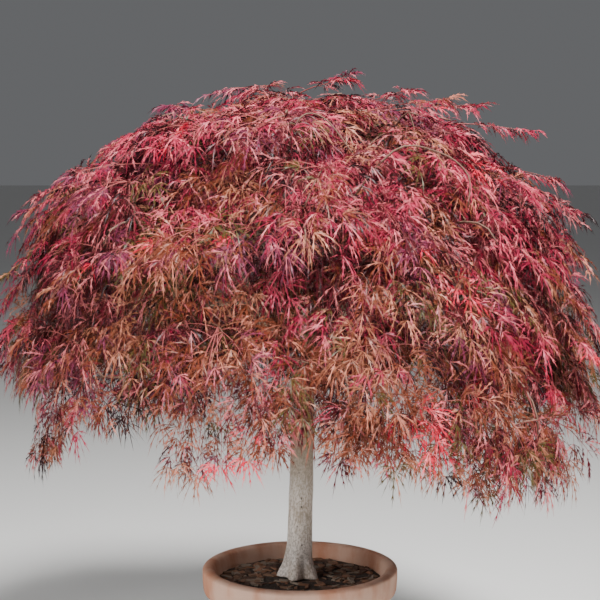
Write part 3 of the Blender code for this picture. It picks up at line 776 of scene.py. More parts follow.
class Growth:
    """What grows on from one bough's tip: wood as paths with their radii, and leaves."""

    def __init__(self, bough, seed, foliage, taken):
        self.bough, self.cell, self.foliage, self.taken = bough, bough.cell, foliage, taken
        self.rng = random.Random(seed)
        self.wood = []
        self.leaves = []
        self.joints = []

    def jitter(self, size):
        return Vector([self.rng.uniform(-size, size) for _ in range(3)])

    def shorten(self, size, tries, within):
        """The first size that passes a test, of ones that shrink each time, or None."""
        count, factor = tries
        for _ in range(count):
            if within(size):
                return size
            size *= factor
        return None

    def add_wood(self, path, foot_radius, end_radius, young):
        last = len(path) - 1
        radii = [foot_radius + (end_radius - foot_radius) * i / last for i in range(last + 1)]
        self.wood.append((path, radii, young))

    def tint_at(self, place, painted_shade):
        """The tint of a spray: crimson and rose up and right, purple left, bronze low and inside."""
        side = place.x / CROWN_RADIUS
        height = (place.z - CROWN_WAIST) / DOME_HEIGHT
        drift = noise.noise(place * DRIFT_SCALE)
        patch = noise.noise(place * PATCH_SCALE + PATCH_SHIFT)
        low = 0.85 * max(0.0, 0.60 - height) + 0.5 * max(0.0, drift)
        # A spray's painted shade fades out towards the crown's hem.
        painted_shade = painted_shade * min(1.0, max(0.0, (place.z - PAINTED_SHADE_HEIGHTS[0]) / (PAINTED_SHADE_HEIGHTS[1] - PAINTED_SHADE_HEIGHTS[0])))
        # Painted shade deals out more maroon, burgundy, bronze and olive, and less crimson, scarlet, rose and
        # tint patches.
        weights = {
            "maroon": 0.80 + 4.0 * painted_shade,
            "burgundy": 0.9 + 2.5 * painted_shade + 1.4 * low,
            "purple": max(0.1, 0.8 - 1.1 * side + 1.0 * drift),
            "crimson": max(0.2, 1.5 + 0.7 * side + 0.8 * height - 1.2 * drift - painted_shade - 2.0 * low),
            # Scarlet is partly painted light: the glow of leaves with light through them.
            "scarlet": (0.12 + 1.5 * max(0.0, patch - 0.3)) * (1 - painted_shade),
            # Rose is partly painted light: paler leaves up and to the right, where the light falls.
            "rose": max(0.1, 0.9 + 0.6 * side + 0.5 * height - 1.6 * low) * (1 - 0.6 * painted_shade),
            "bronze": 0.30 + 2.8 * low + 0.6 * painted_shade,
            "tan": 0.12 + 1.6 * low + 0.3 * max(0.0, patch),
            "olive": 0.12 + 1.6 * low + 0.5 * painted_shade,
        }
        for tint, spread, places in TINT_PATCHES:
            for azimuth, polar in places:
                middle = crown_point(math.radians(azimuth), math.radians(polar), PATCH_DEPTH)
                near = math.exp(-(((place - middle).length / spread) ** 2))
                weights[tint] += PATCH_WEIGHT * (1 - painted_shade) * near
        weights["tan"] += 0.4 * max(0.0, weights["bronze"] - 1.5)
        return TINTS.index(self.rng.choices(TINTS, [max(0.0, weights[tint]) for tint in TINTS])[0])

    def add_leaf(self, joint, heading, outside, size, tint, toothed, limit=LEAF_REACH):
        """A leaf on its stalk, as large as fits in the crown."""
        stalk = (heading + self.jitter(STALK_STRAY)).normalized() * STALK_LENGTH
        base = joint + stalk * self.rng.uniform(*STALK_LENGTHS) + DOWN * STALK_LENGTH * STALK_SAG
        axis = (heading + DOWN * LEAF_DIP + self.jitter(LEAF_STRAY)).normalized()
        up = outside * FACE_OUTWARDS + UP * FACE_UPWARDS + self.jitter(FACE_STRAY)
        up = (up - axis * up.dot(axis)).normalized()

        def fits(size):
            return in_crown(base + axis * size + DOWN * size * self.foliage.droop, limit)

        size = self.shorten(size, LEAF_TRIES, fits)
        if size:
            self.leaves.append((base, axis, up, size, tint, toothed))
            self.wood.append(([joint, base], [STALK_RADIUS, STALK_END_RADIUS], True))

    def add_spray(self, start, heading, outside, length, shade):
        """A drooping twig that ends in a tuft: opposite pairs of leaves and one at its tip."""

        def end_at(length):
            run, drop = SPRAY_END
            return start + heading * length * run + DOWN * length * drop

        def fits(length):
            end = end_at(length)
            return in_crown(end, SPRAY_REACH) and self.cell.hangs_clear(end + DOWN * HEM_CLEARANCE)

        length = self.shorten(length, SPRAY_TRIES, fits)
        if length is None:
            return
        end = end_at(length)
        rise = (heading + outside * SPRAY_RISE[0] + UP * SPRAY_RISE[1]) * length
        arrive = (heading * SPRAY_ARRIVAL[0] + DOWN * SPRAY_ARRIVAL[1]) * length
        path = hermite(start, rise, end, arrive, SPRAY_POINTS - 1)
        self.add_wood(path, SPRAY_RADIUS, TWIG_END_RADIUS, True)
        # The spray's shade is painted shade: it darkens the tint dealt to it.
        self.add_tuft(path, outside, length, shade, self.tint_at(end, shade))

    def add_tuft(self, path, outside, length, shade, spray_tint):
        """The leaves along the outer part of a spray. Deep inside the crown they are smaller and plain."""
        toothed = shade < 1.0
        full = self.foliage.leaf * (1.0 if toothed else INNER_LEAF)
        onwards, aside, outwards = TUFT_SPREAD
        pairs = max(2, round(length * (1 - TUFT_START) / NODE_SPACING))
        for pair in range(pairs):
            share = TUFT_START + (1 - TUFT_START) * (pair + PAIR_START) / pairs
            spot = share * (SPRAY_POINTS - 1)
            low = min(int(spot), SPRAY_POINTS - 2)
            joint = path[low].lerp(path[low + 1], spot - low)
            along = (path[low + 1] - path[low]).normalized()
            across = along.cross(outside).normalized()
            for way in (-1, 1):
                spread = (along * onwards + across * way * aside + outside * outwards).normalized()
                tint = spray_tint if self.rng.random() < SAME_TINT else self.tint_at(joint, shade)
                size = full * self.rng.uniform(*LEAF_SIZES)
                self.add_leaf(joint, spread, outside, size, tint, toothed)
        along = (path[-1] - path[-2]).normalized()
        self.add_leaf(path[-1], along, outside, full, spray_tint, toothed)

    def roomiest_place(self):
        """A branch's end, uphill of the barest of the places tried in the cell, with the fall line there."""
        best, widest = None, -1.0
        for _ in range(PLACES_TRIED):
            across, down = self.rng.uniform(-1.0, 1.0), self.rng.uniform(*ROWS[self.cell.tier])
            place = self.cell.point(across, down, TRIAL_DEPTH)
            room = min([(place - other).length_squared for other in self.taken], default=1.0)
            if room > widest:
                best, widest = (across, down, place), room
        across, down, place = best
        self.taken.append(place)
        depths = TIP_BRANCH_DEPTHS if self.cell.tier == "tip" else BRANCH_DEPTHS
        place = self.cell.point(across, down, self.rng.uniform(*depths))
        outside, fall = fall_line(place)
        return place - fall * self.foliage.spray * UPHILL, outside, fall

    def branch_to(self, place, outside, fall):
        """The arching branch to a place from a joint near it."""
        nearest = sorted(self.joints, key=lambda joint: (joint - place).length_squared)
        start = self.rng.choice(nearest[:JOINTS_TRIED])
        way = place - start
        rise = way + (outside * BRANCH_ARCH[0] + UP * BRANCH_ARCH[1]) * way.length
        arrive = way * BRANCH_ARRIVAL[0] + fall * way.length * BRANCH_ARRIVAL[1]
        return hermite(start, rise, place, arrive, BRANCH_POINTS - 1)

    def add_branch(self):
        """A branch with a fan of sprays at its end, and a few inside the crown along it."""
        place, outside, fall = self.roomiest_place()
        path = self.branch_to(place, outside, fall)
        self.add_wood(path, BRANCH_RADIUS, SPRAY_RADIUS, False)
        self.joints += [path[number] for number in BRANCH_JOINTS]
        across = outside.cross(fall)
        # Sprays stand out more on the crown's sides than on its top.
        steepness = 0.4 + 0.7 * math.hypot(outside.x, outside.y)
        for turn, lift, shade in FAN:
            angle = math.radians(turn + self.rng.uniform(-FAN_STRAY, FAN_STRAY))
            heading = fall * math.cos(angle) + across * math.sin(angle)
            stand = (lift + self.rng.uniform(-LIFT_STRAY, LIFT_STRAY)) * steepness
            heading = (heading + outside * stand).normalized()
            start = path[-1].lerp(path[-2], abs(turn) / FAN_BACK)
            length = self.foliage.spray * self.rng.uniform(*SPRAY_LENGTHS)
            self.add_spray(start, heading, outside, length, shade)
        for _ in range(INNER_SPRAYS):
            aside = across * self.rng.uniform(-INNER_TURN, INNER_TURN)
            heading = (fall + aside - outside * 0.1).normalized()
            start = path[2].lerp(path[5], self.rng.random())
            length = self.foliage.spray * self.rng.uniform(*INNER_LENGTHS)
            # These sprays take full painted shade, and so the darkest tints.
            self.add_spray(start, heading, outside, length, 1.0)

    def nearest_joint(self, place):
        return min(self.joints, key=lambda joint: (joint - place).length_squared)

    def add_shoot(self, azimuth, polar, depth):
        """A vigorous shoot that stands out of the crown, with leaves along its outer half."""
        tip = crown_point(azimuth, polar, depth)
        outside, fall = fall_line(tip)
        start = self.nearest_joint(tip - fall * SHOOT_LENGTH - outside * SHOOT_LENGTH * SHOOT_ROOT)
        leap = tip - start
        rise = leap * 0.9 + (outside + UP * 0.4).normalized() * leap.length * SHOOT_LEAP
        arrive = (fall + outside * SHOOT_ARRIVAL) * leap.length * 0.5
        path = hermite(start, rise, tip, arrive, 2 * SPRAY_POINTS)
        self.add_wood(path, SHOOT_RADIUS, TWIG_END_RADIUS, True)
        for number in range(SPRAY_POINTS, len(path)):
            along = (path[number] - path[number - 1]).normalized()
            across = along.cross(outside).normalized()
            tint = self.tint_at(path[number], 0.0)
            for way in (-1, 1):
                aside = across * way * self.rng.uniform(*SHOOT_ASIDE)
                spread = (along * SHOOT_ONWARDS + aside).normalized()
                size = self.foliage.leaf * self.rng.uniform(*SHOOT_LEAVES)
                self.add_leaf(path[number], spread, outside, size, tint, True, SHOOT_REACH)
        self.add_leaf(tip, along, outside, self.foliage.leaf * SHOOT_LEAVES[1], tint, True, SHOOT_REACH)

    def add_bare_limb(self, places):
        """A limb that arches over the leaves and dips back under them."""
        points = [crown_point(math.radians(a), math.radians(p), depth) for a, p, depth in places]
        points.insert(0, self.nearest_joint(points[0]))
        pulls = [(after - before) * 0.5 for before, after in zip(points, points[2:])]
        pulls = [points[1] - points[0], *pulls, points[-1] - points[-2]]
        path = [points[0]]
        for start, pull, end, end_pull in zip(points, pulls, points[1:], pulls[1:]):
            path += hermite(start, pull, end, end_pull, LIMB_STEPS)[1:]
        self.add_wood(path, LIMB_RADIUS, LIMB_END_RADIUS, False)

    def grow_spine(self):
        """The limb that leads on from the bough through the mass."""
        bough = self.bough
        end = self.cell.point(self.rng.uniform(-SPINE_STRAY, SPINE_STRAY), *SPINE_END)
        span = (end - bough.end).length
        start = bough.end - bough.arrive * SPINE_ROOT
        leap, fall = bough.arrive * span * SPINE_LEAP, fall_line(end)[1] * span
        spine = hermite(start, leap, end, fall, SPINE_STEPS)
        self.add_wood(spine, SPINE_RADIUS, SPINE_END_RADIUS, False)
        self.joints += spine[1:-1]

    def grow(self):
        self.grow_spine()
        for _ in range(round(self.cell.area() / self.foliage.spacing**2 * CLOSENESS[self.cell.tier])):
            self.add_branch()
        for azimuth, polar, depth in SHOOTS + TRAILS:
            azimuth, polar = math.radians(azimuth), math.radians(polar)
            if self.cell.spans(azimuth, polar):
                self.add_shoot(azimuth, polar, depth)
        for places in BARE_LIMBS:
            if self.cell.spans(math.radians(places[1][0]), math.radians(places[0][1])):
                self.add_bare_limb(places)
        return self


@functools.lru_cache
def grow_crown():
    """The growth of every mass. All share one list of branch ends, so that they spread evenly."""
    foliage = bpy.context.scene.maple_foliage
    taken = []
    return [
        Growth(bough, foliage.seed + number, foliage, taken).grow()
        for number, bough in enumerate(grow_boughs())
    ]


# --- meshes ----------------------------------------------------------------------------------

MERGE_DISTANCE = 1e-6
# A direction that no twig follows for long, to start a tube's spokes from.
SKEW = (0.37, 0.61, 0.70)


def new_piece(name, mesh, materials, slot, *nodes):
    """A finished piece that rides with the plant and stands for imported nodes."""
    obj = bpy.data.objects.new(name, mesh)
    bpy.context.scene.collection.objects.link(obj)
    for material in materials:
        mesh.materials.append(material)
    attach(obj, BODY)
    if nodes:
        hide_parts(*nodes)
    return obj


def mesh_from(name, bm):
    mesh = bpy.data.meshes.new(name)
    bm.to_mesh(mesh)
    bm.free()
    mesh.shade_smooth()
    return mesh


class Swarm:
    """Very many small things that are joined into one mesh from arrays."""

    def __init__(self):
        self.points, self.faces, self.slots, self.size = [], [], [], 0

    def add(self, points, faces, slots):
        """Copies of one shape. Points go by copy, faces are the shape's, and slots its faces' by copy."""
        count, size, _ = points.shape
        starts = self.size + np.arange(count)[:, None, None] * size
        for corners in (3, 4):
            chosen = [number for number, face in enumerate(faces) if len(face) == corners]
            if chosen:
                shape = np.array([faces[number] for number in chosen])
                self.faces.append((shape[None] + starts).reshape(-1, corners))
                self.slots.append(slots[:, chosen].ravel())
        self.points.append(points.reshape(-1, 3))
        self.size += count * size

    def mesh(self, name):
        mesh = bpy.data.meshes.new(name)
        mesh.vertices.add(self.size)
        mesh.vertices.foreach_set("co", np.concatenate(self.points).astype(np.float32).ravel())
        corners = np.concatenate([face.ravel() for face in self.faces])
        sizes = np.concatenate([np.full(len(face), face.shape[1]) for face in self.faces])
        starts = np.concatenate(([0], np.cumsum(sizes)[:-1]))
        mesh.loops.add(len(corners))
        mesh.loops.foreach_set("vertex_index", corners.astype(np.int32))
        mesh.polygons.add(len(sizes))
        mesh.polygons.foreach_set("loop_start", starts.astype(np.int32))
        mesh.polygons.foreach_set("material_index", np.concatenate(self.slots).astype(np.int32))
        mesh.update(calc_edges=True)
        mesh.validate()
        mesh.shade_smooth()
        return mesh


def unit(vectors):
    return vectors / np.maximum(np.linalg.norm(vectors, axis=-1, keepdims=True), 1e-9)


def add_tubes(swarm, paths, radii, slot, sides=3):
    """Closed, tapering tubes round paths of equally many points."""
    paths, radii = np.array(paths), np.array(radii)
    count, stations = radii.shape
    along = unit(np.gradient(paths, axis=1))
    side = unit(np.cross(along, np.array(SKEW)))
    other = np.cross(along, side)
    turns = 2 * np.pi * np.arange(sides) / sides
    spokes = side[:, :, None] * np.cos(turns)[:, None] + other[:, :, None] * np.sin(turns)[:, None]
    points = paths[:, :, None] + spokes * radii[:, :, None, None]
    last = (stations - 1) * sides
    faces = [tuple(range(sides)), tuple(range(last + sides - 1, last - 1, -1))]
    for station in range(0, last, sides):
        for k in range(sides):
            a, b = station + k, station + (k + 1) % sides
            faces.append((a, a + sides, b + sides, b))
    swarm.add(points.reshape(count, -1, 3), faces, np.full((count, len(faces)), slot))


def wood_mesh(name, wood):
    """Twigs and leaf stalks: slot 0 is old wood, and slot 1 this year's."""
    groups = {}
    for path, radii, young in wood:
        groups.setdefault((len(path), young), []).append((path, radii))
    swarm = Swarm()
    for (_, young), members in sorted(groups.items()):
        add_tubes(swarm, [path for path, _ in members], [radii for _, radii in members], int(young))
    return swarm.mesh(name)


def lobe_shape(joints, toothed):
    """A lobe's points, as shares of its length and half widths aside, and its faces."""

    def width(station):
        return float(np.interp(station, *zip(*LOBE_OUTLINE)))

    places, faces = [], []
    for joint in range(joints):
        station = joint / joints
        places += [(station, width(station)), (station, -width(station))]
        if joint:
            left = 2 * joint
            faces.append((left - 2, left - 1, left + 1, left))
    tip = 2 * joints
    places.append((1.0, 0.0))
    faces.append((tip - 2, tip - 1, tip))
    if toothed:
        for joint in range(1, joints):
            foot, apex = (joint + TOOTH_FOOT) / joints, (joint + TOOTH_TIP) / joints
            reach = TOOTH_REACH * (1.0 if joint < joints - 1 else LAST_TOOTH)
            for way in (1, -1):
                start = len(places)
                places += [(foot, way * width(foot)), (apex, way * reach)]
                edge = 2 * joint + (way < 0)
                faces.append((start, edge, start + 1)[::way])
    return places, faces


def add_leaves(swarm, leaves, foliage, rng):
    """Finely cut, drooping leaves of seven lobes, all with teeth or all without."""
    base, axis, up = (np.array([leaf[i] for leaf in leaves]) for i in range(3))
    size, tint = (np.array([leaf[i] for leaf in leaves]) for i in (3, 4))
    toothed = leaves[0][5]
    side = np.cross(up, axis)
    half = foliage.lobe_width / 2
    count = len(leaves)
    points, faces, painted_highlight = [], [], []
    for angle, share, joints in LOBES:
        turned = angle + rng.normal(0.0, LOBE_TURN, count)
        roll = rng.normal(0.0, LOBE_ROLL, count)[:, None]
        cos, sin = np.cos(turned)[:, None], np.sin(turned)[:, None]
        heading = axis * cos + side * sin
        across = (side * cos - axis * sin) * np.cos(roll) + up * np.sin(roll)
        reach = (size * share * rng.uniform(*LOBE_LENGTHS, count))[:, None]
        hang = foliage.droop * (1.0 + SIDE_HANG * abs(angle)) * rng.uniform(*LOBE_HANGS, count)[:, None]
        places, shape = lobe_shape(joints, toothed)
        faces += [tuple(corner + len(points) for corner in face) for face in shape]
        # Painted highlight: some lobes of toothed leaves take the paler copy of their tint, in the slot after
        # it.
        painted_highlight += [rng.random(count) < (PAINTED_HIGHLIGHT_LOBES if toothed else 0.0)] * len(shape)
        for station, offset in places:
            arch = LOBE_ARCH * station * (1.0 - station)
            fall = np.array(DOWN) * hang * station**HANG_POWER
            middle = base + reach * (heading * station + up * arch + fall)
            points.append(middle + across * half * offset)
    slots = 2 * tint[:, None] + np.stack(painted_highlight, axis=1)
    swarm.add(np.stack(points, axis=1), faces, slots)


def leaf_mesh(name, leaves, foliage, seed):
    rng = np.random.default_rng(seed)
    swarm = Swarm()
    for toothed in (True, False):
        group = [leaf for leaf in leaves if leaf[5] == toothed]
        if group:
            add_leaves(swarm, group, foliage, rng)
    return swarm.mesh(name)


def limb(bm, path, radius_at, sides):
    """A tube whose rings follow a path. radius_at gives its radius from the share of its length, the angle
    round it and a place near its surface, where the bark's noise is read."""
    near = 0.02
    rings = len(path) - 1
    frames = []
    side = (path[1] - path[0]).normalized().orthogonal().normalized()
    for i, centre in enumerate(path):
        along = (path[min(i + 1, rings)] - path[max(i - 1, 0)]).normalized()
        side = (side - along * side.dot(along)).normalized()
        frames.append((centre, side, along.cross(side)))
    verts = bmesh.ops.create_grid(bm, x_segments=sides, y_segments=rings, size=0.5)["verts"]
    for vert in verts:
        turn, share = (vert.co.x + 0.5) * 2 * math.pi, vert.co.y + 0.5
        centre, side, other = frames[round(share * rings)]
        spoke = side * math.cos(turn) + other * math.sin(turn)
        vert.co = centre + spoke * radius_at(share, turn, centre + spoke * near)
    bmesh.ops.remove_doubles(bm, verts=verts, dist=MERGE_DISTANCE)


def close_and_turn_out(bm):
    bmesh.ops.holes_fill(bm, edges=bm.edges, sides=0)
    bmesh.ops.recalc_face_normals(bm, faces=bm.faces)


def in_order(mesh):
    """A copy with its points and faces sorted by place, so that every run gives the same mesh."""
    order = sorted(range(len(mesh.vertices)), key=lambda number: tuple(mesh.vertices[number].co))
    rank = {number: place for place, number in enumerate(order)}
    faces = []
    for polygon in mesh.polygons:
        corners = [rank[number] for number in polygon.vertices]
        first = corners.index(min(corners))
        faces.append(corners[first:] + corners[:first])
    copy = bpy.data.meshes.new(mesh.name)
    copy.from_pydata([mesh.vertices[number].co for number in order], [], sorted(faces))
    copy.shade_smooth()
    for material in mesh.materials:
        copy.materials.append(material)
    return copy


def turned_body(profile, steps):
    """A closed profile of (radius, height) points, spun about Z."""
    bm = bmesh.new()
    verts = [bm.verts.new((radius, 0.0, height)) for radius, height in profile]
    edges = [bm.edges.new(pair) for pair in zip(verts, verts[1:])]
    bmesh.ops.spin(
        bm, geom=verts + edges, axis=UP, cent=(0, 0, 0), angle=2 * math.pi, steps=steps, use_merge=True
    )
    bmesh.ops.remove_doubles(bm, verts=bm.verts, dist=MERGE_DISTANCE)
    bmesh.ops.recalc_face_normals(bm, faces=bm.faces)
    return bm


# --- pieces ----------------------------------------------------------------------------------


class MAPLE_OT_stem(bpy.types.Operator):
    """Model the clear stem with its root flare, graft and bark"""

    bl_idname = "maple.stem"
    bl_label = "Stem"
    sides = 72
    rings = 190
    # How far each way the profile's corners are softened.
    soften = 0.014
    first_root = 0.6
    graft_spread = 0.040

    def execute(self, context):
        wood = context.scene.maple_wood
        full = STEM_TOP.z - STEM_FOOT.z
        heights, radii, ripples = np.array(STEM_PROFILE).T
        nearby = np.linspace(-self.soften, self.soften, 5)

        def radius_at(share, turn, place):
            height = share * full
            radius = np.interp(height + nearby, heights, radii).mean()
            ripple = np.interp(height, heights, ripples)
            roots = 1 + ripple * math.cos(FLARE_ROOTS * turn + self.first_root)
            furrows = noise.fractal(Vector((place.x, place.y, place.z * 0.12)) * 95, 0.8, 2.0, 3)
            lumps = noise.noise(place * 21)
            graft = math.exp(-(((height - GRAFT_HEIGHT) / self.graft_spread) ** 2))
            knobs = noise.noise(place * 52) * graft * 2.2
            return radius * roots + wood.relief * (0.30 * furrows + 0.9 * lumps + knobs) - wood.relief * 0.2

        bm = bmesh.new()
        path = [stem_centre(full * i / self.rings) for i in range(self.rings + 1)]
        limb(bm, path, radius_at, self.sides)
        close_and_turn_out(bm)
        # Painted shade darkens the stem's bark from the first height to the second, under the crown.
        material = bark_finish("stem_bark", wood, 0.53, 0.75)
        new_piece("stem_with_bark", mesh_from("stem_with_bark", bm), [material], "bark", "stem")
        return {"FINISHED"}


class MAPLE_OT_boughs(bpy.types.Operator):
    """Model the boughs, each growing out of a collar in its host"""

    bl_idname = "maple.boughs"
    bl_label = "Boughs"
    sides = 14
    rings = 46
    # How much a collar widens a bough, and the distance over which it fades.
    collar = 0.45
    collar_fade = 0.018
    joint_swell = 0.05
    joint_length = 0.009

    def execute(self, context):
        wood = context.scene.maple_wood
        bm = bmesh.new()
        nodes = []
        for bough in grow_boughs():
            nodes.append(f"bough_{bough.cell.title}")
            path = [bough.target] + bough.curve(self.rings - 1)
            reach = (bough.end - bough.foot).length

            def radius_at(share, turn, place, radius=bough.radius, reach=reach):
                taper = radius + (BOUGH_TIP_RADIUS - radius) * share
                collar = 1 + self.collar * math.exp(-share * reach / self.collar_fade)
                swell = max(0.0, math.sin(share * reach / self.joint_length)) ** 4
                joints = 1 + self.joint_swell * swell
                return taper * collar * joints + wood.relief * 0.35 * noise.noise(place * 60)

            limb(bm, path, radius_at, self.sides)
        close_and_turn_out(bm)
        # Painted shade darkens the boughs' bark from the first height to the second, inside the crown.
        material = bark_finish("bough_bark", wood, 0.52, 0.88)
        new_piece("boughs_with_bark", mesh_from("boughs_with_bark", bm), [material], "bark", *nodes)
        return {"FINISHED"}


class MAPLE_OT_twigs(bpy.types.Operator):
    """Model the twigs and leaf stalks of every foliage mass"""

    bl_idname = "maple.twigs"
    bl_label = "Twigs"

    def execute(self, context):
        wood = context.scene.maple_wood
        materials = [
            plain("old_twigs", wood.twig_old, 0.7, TWIG_SHINE),
            plain("young_twigs", wood.twig_young, 0.55, TWIG_SHINE),
        ]
        for growth in grow_crown():
            title = growth.cell.title
            mesh = wood_mesh(f"twigs_{title}", growth.wood)
            new_piece(f"twigs_{title}", mesh, materials, "bark", f"foliage_{title}")
        return {"FINISHED"}


class MAPLE_OT_leaves(bpy.types.Operator):
    """Model the finely cut leaves of every foliage mass, with their tints dealt out by spray"""

    bl_idname = "maple.leaves"
    bl_label = "Leaves"

    def execute(self, context):
        foliage = context.scene.maple_foliage
        materials = []
        for tint in TINTS:
            colour = np.array(getattr(foliage, tint))
            pale = np.array(foliage.straw if tint in BROWN_TINTS else foliage.pale)
            # Each tint has a paler copy, for lobes with a painted highlight.
            painted_highlight = colour + (pale - colour) * PAINTED_HIGHLIGHT_PALENESS
            materials.append(plain(f"leaf_{tint}", colour, foliage.roughness, LEAF_SHINE))
            materials.append(plain(f"leaf_{tint}_lit", painted_highlight, foliage.roughness, LEAF_SHINE))
        for number, growth in enumerate(grow_crown()):
            title = growth.cell.title
            mesh = leaf_mesh(f"leaves_{title}", growth.leaves, foliage, foliage.seed + number)
            new_piece(f"leaves_{title}", mesh, materials, "foliage", f"foliage_{title}")
        return {"FINISHED"}


class MAPLE_OT_pot(bpy.types.Operator):
    """Turn the clay pot, with its rolled rim, incised line and drain holes"""

    bl_idname = "maple.pot"
    bl_label = "Pot"
    steps = 120
    wall = 0.017
    floor = 0.020
    taper = 0.070
    rim_depth = 0.062
    rim_proud = 0.012
    lip = 0.009
    groove_drop = 0.030
    groove_depth = 0.0012
    drain_radius = 0.012
    drain_circle = 0.080
    # How uneven the hand-turned wall is.
    unevenness = 0.0006

    def profile(self, rim, height):
        """The outline from the middle of the floor, over the rim and down to the middle of the base."""
        base = rim - self.taper
        neck = height - self.rim_depth

        def inside(level):
            top = rim - self.rim_proud
            return base + (top - base) * level / height - self.wall

        def outside(level):
            return inside(level) + self.wall

        corner = inside(self.floor)
        points = [(0.0, self.floor), (corner - 0.010, self.floor), (corner - 0.003, self.floor + 0.003)]
        points += [(inside(level), level) for level in (0.030, *np.linspace(0.08, height - 0.012, 8))]
        reach = (rim - inside(height)) / 2
        centre = rim - reach
        for angle in [math.radians(degrees) for degrees in range(170, -1, -17)]:
            level = height - self.lip + self.lip * math.sin(angle)
            points.append((centre + reach * math.cos(angle), level))
        points += [(rim - 0.0005, height - 0.030), (rim - 0.0025, neck + 0.008), (rim - 0.0045, neck + 0.002)]
        points += [(rim - 0.009, neck), (outside(neck) + 0.0005, neck - 0.003)]
        groove = neck - self.groove_drop
        for level, depth in ((0.004, 0), (0.0015, 1), (-0.0015, 1), (-0.004, 0)):
            points.append((outside(groove + level) - depth * self.groove_depth, groove + level))
        points += [(outside(level), level) for level in np.linspace(groove - 0.02, 0.010, 12)]
        return points + [(base - 0.001, 0.004), (base - 0.006, 0.0), (base - 0.020, 0.0), (0.0, 0.0)]

    def execute(self, context):
        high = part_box("pot")[1]
        bm = turned_body(self.profile(high.x, high.z), self.steps)
        for vert in bm.verts:
            away = math.hypot(vert.co.x, vert.co.y)
            if vert.co.z > self.floor and away > 0.1:
                push = self.unevenness * noise.noise(vert.co * 7) - self.unevenness
                vert.co.x += push * vert.co.x / away
                vert.co.y += push * vert.co.y / away
        material = clay_finish("fired_clay", context.scene.maple_pot)
        pot = new_piece("clay_pot", mesh_from("clay_pot", bm), [material], "terracotta", "pot")
        self.drill(pot)
        return {"FINISHED"}

    def drill(self, pot):
        """Cuts the drain holes through the floor, and keeps the result as a plain mesh."""
        bm = bmesh.new()
        for hole in range(3):
            angle = hole * 2 * math.pi / 3 + math.pi / 6
            place = Vector((math.cos(angle), math.sin(angle), 0.0)) * self.drain_circle
            bmesh.ops.create_cone(
                bm,
                cap_ends=True,
                segments=32,
                radius1=self.drain_radius,
                radius2=self.drain_radius,
                depth=4 * self.floor,
                matrix=Matrix.Translation(place),
            )
        drills = bpy.data.objects.new("drills", mesh_from("drills", bm))
        bpy.context.scene.collection.objects.link(drills)
        cut = pot.modifiers.new("drain", "BOOLEAN")
        cut.operation = "DIFFERENCE"
        cut.object = drills
        bpy.context.view_layer.update()
        graph = bpy.context.evaluated_depsgraph_get()
        mesh = bpy.data.meshes.new_from_object(pot.evaluated_get(graph), depsgraph=graph)
        pot.modifiers.clear()
        pot.data = in_order(mesh)
        bpy.data.objects.remove(drills, do_unlink=True)
        pot.data.set_sharp_from_angle(angle=math.radians(40))


class MAPLE_OT_soil(bpy.types.Operator):
    """Fill the pot with crumbly soil and scatter a mulch of bark chips on it"""

    bl_idname = "maple.soil"
    bl_label = "Soil and mulch"
    steps = 110
    rings = 46
    depth = 0.060
    flat_radius = 0.070
    edge_fall = 0.010
    sunk = 0.0015
    # Clearance from the pot's wall.
    clearance = 0.0006
    tones = {
        "dark": (0.085, 0.045, 0.028),
        "brown": (0.170, 0.095, 0.058),
        "red": (0.210, 0.100, 0.055),
        "grey": (0.200, 0.155, 0.115),
    }

    def level_at(self, place, top, radius):
        """The soil's height: flat round the stem, falling to the wall, and lumpy except at the middle."""
        away = math.hypot(place.x, place.y)
        share = max(0.0, (away - self.flat_radius) / (radius - self.flat_radius))
        lumps = 0.0022 * noise.noise(Vector((place.x, place.y, 0.0)) * 38)
        lumps += 0.0012 * noise.noise(Vector((place.x, place.y, 4.0)) * 110)
        return top - self.edge_fall * share**1.5 + lumps * min(1.0, away / 0.03) - self.sunk

    def execute(self, context):
        settings = context.scene.maple_pot
        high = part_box("soil")[1]
        top, radius = high.z, high.x - self.clearance
        profile = [(radius * i / self.rings, top) for i in range(self.rings + 1)]
        profile += [(radius - 0.004, top - self.depth), (0.0, top - self.depth)]
        bm = turned_body(profile, self.steps)
        for vert in bm.verts:
            if vert.co.z > top - 0.001:
                vert.co.z = self.level_at(vert.co, top, radius)
        material = soil_finish("potting_soil", settings)
        new_piece("soil_surface", in_order(mesh_from("soil_surface", bm)), [material], "soil", "soil")
        self.scatter(settings, top, radius)
        return {"FINISHED"}

    def scatter(self, settings, top, radius):
        """Bark chips that lie flat or lean a little, each with its own tone."""
        rng = random.Random(5)
        bm = bmesh.new()
        for _ in range(settings.chips):
            angle, away = rng.uniform(0, 2 * math.pi), radius * math.sqrt(rng.uniform(0.07, 0.90))
            place = Vector((away * math.cos(angle), away * math.sin(angle), 0.0))
            length = settings.chip * rng.uniform(0.35, 1.0)
            size = (length, length * rng.uniform(0.35, 0.6), length * rng.uniform(0.12, 0.22))
            place.z = self.level_at(place, top, radius) + size[2] * 0.35
            turn = Matrix.Rotation(rng.uniform(0, 2 * math.pi), 4, "Z")
            tilt = Matrix.Rotation(rng.uniform(-0.22, 0.22), 4, "X")
            whole = Matrix.Translation(place) @ turn @ tilt @ Matrix.Diagonal((*size, 1.0))
            verts = bmesh.ops.create_cube(bm, size=1.0, matrix=whole)["verts"]
            tone = rng.randrange(len(self.tones))
            for vert in verts:
                vert.co += turn @ Vector([rng.uniform(-0.16, 0.16) * side for side in size])
            for face in {face for vert in verts for face in vert.link_faces}:
                face.material_index = tone
        mesh = mesh_from("bark_mulch", bm)
        mesh.set_sharp_from_angle(angle=math.radians(30))
        materials = [plain(f"mulch_{name}", tone, 0.9) for name, tone in self.tones.items()]
        new_piece("bark_mulch", mesh, materials, "soil")


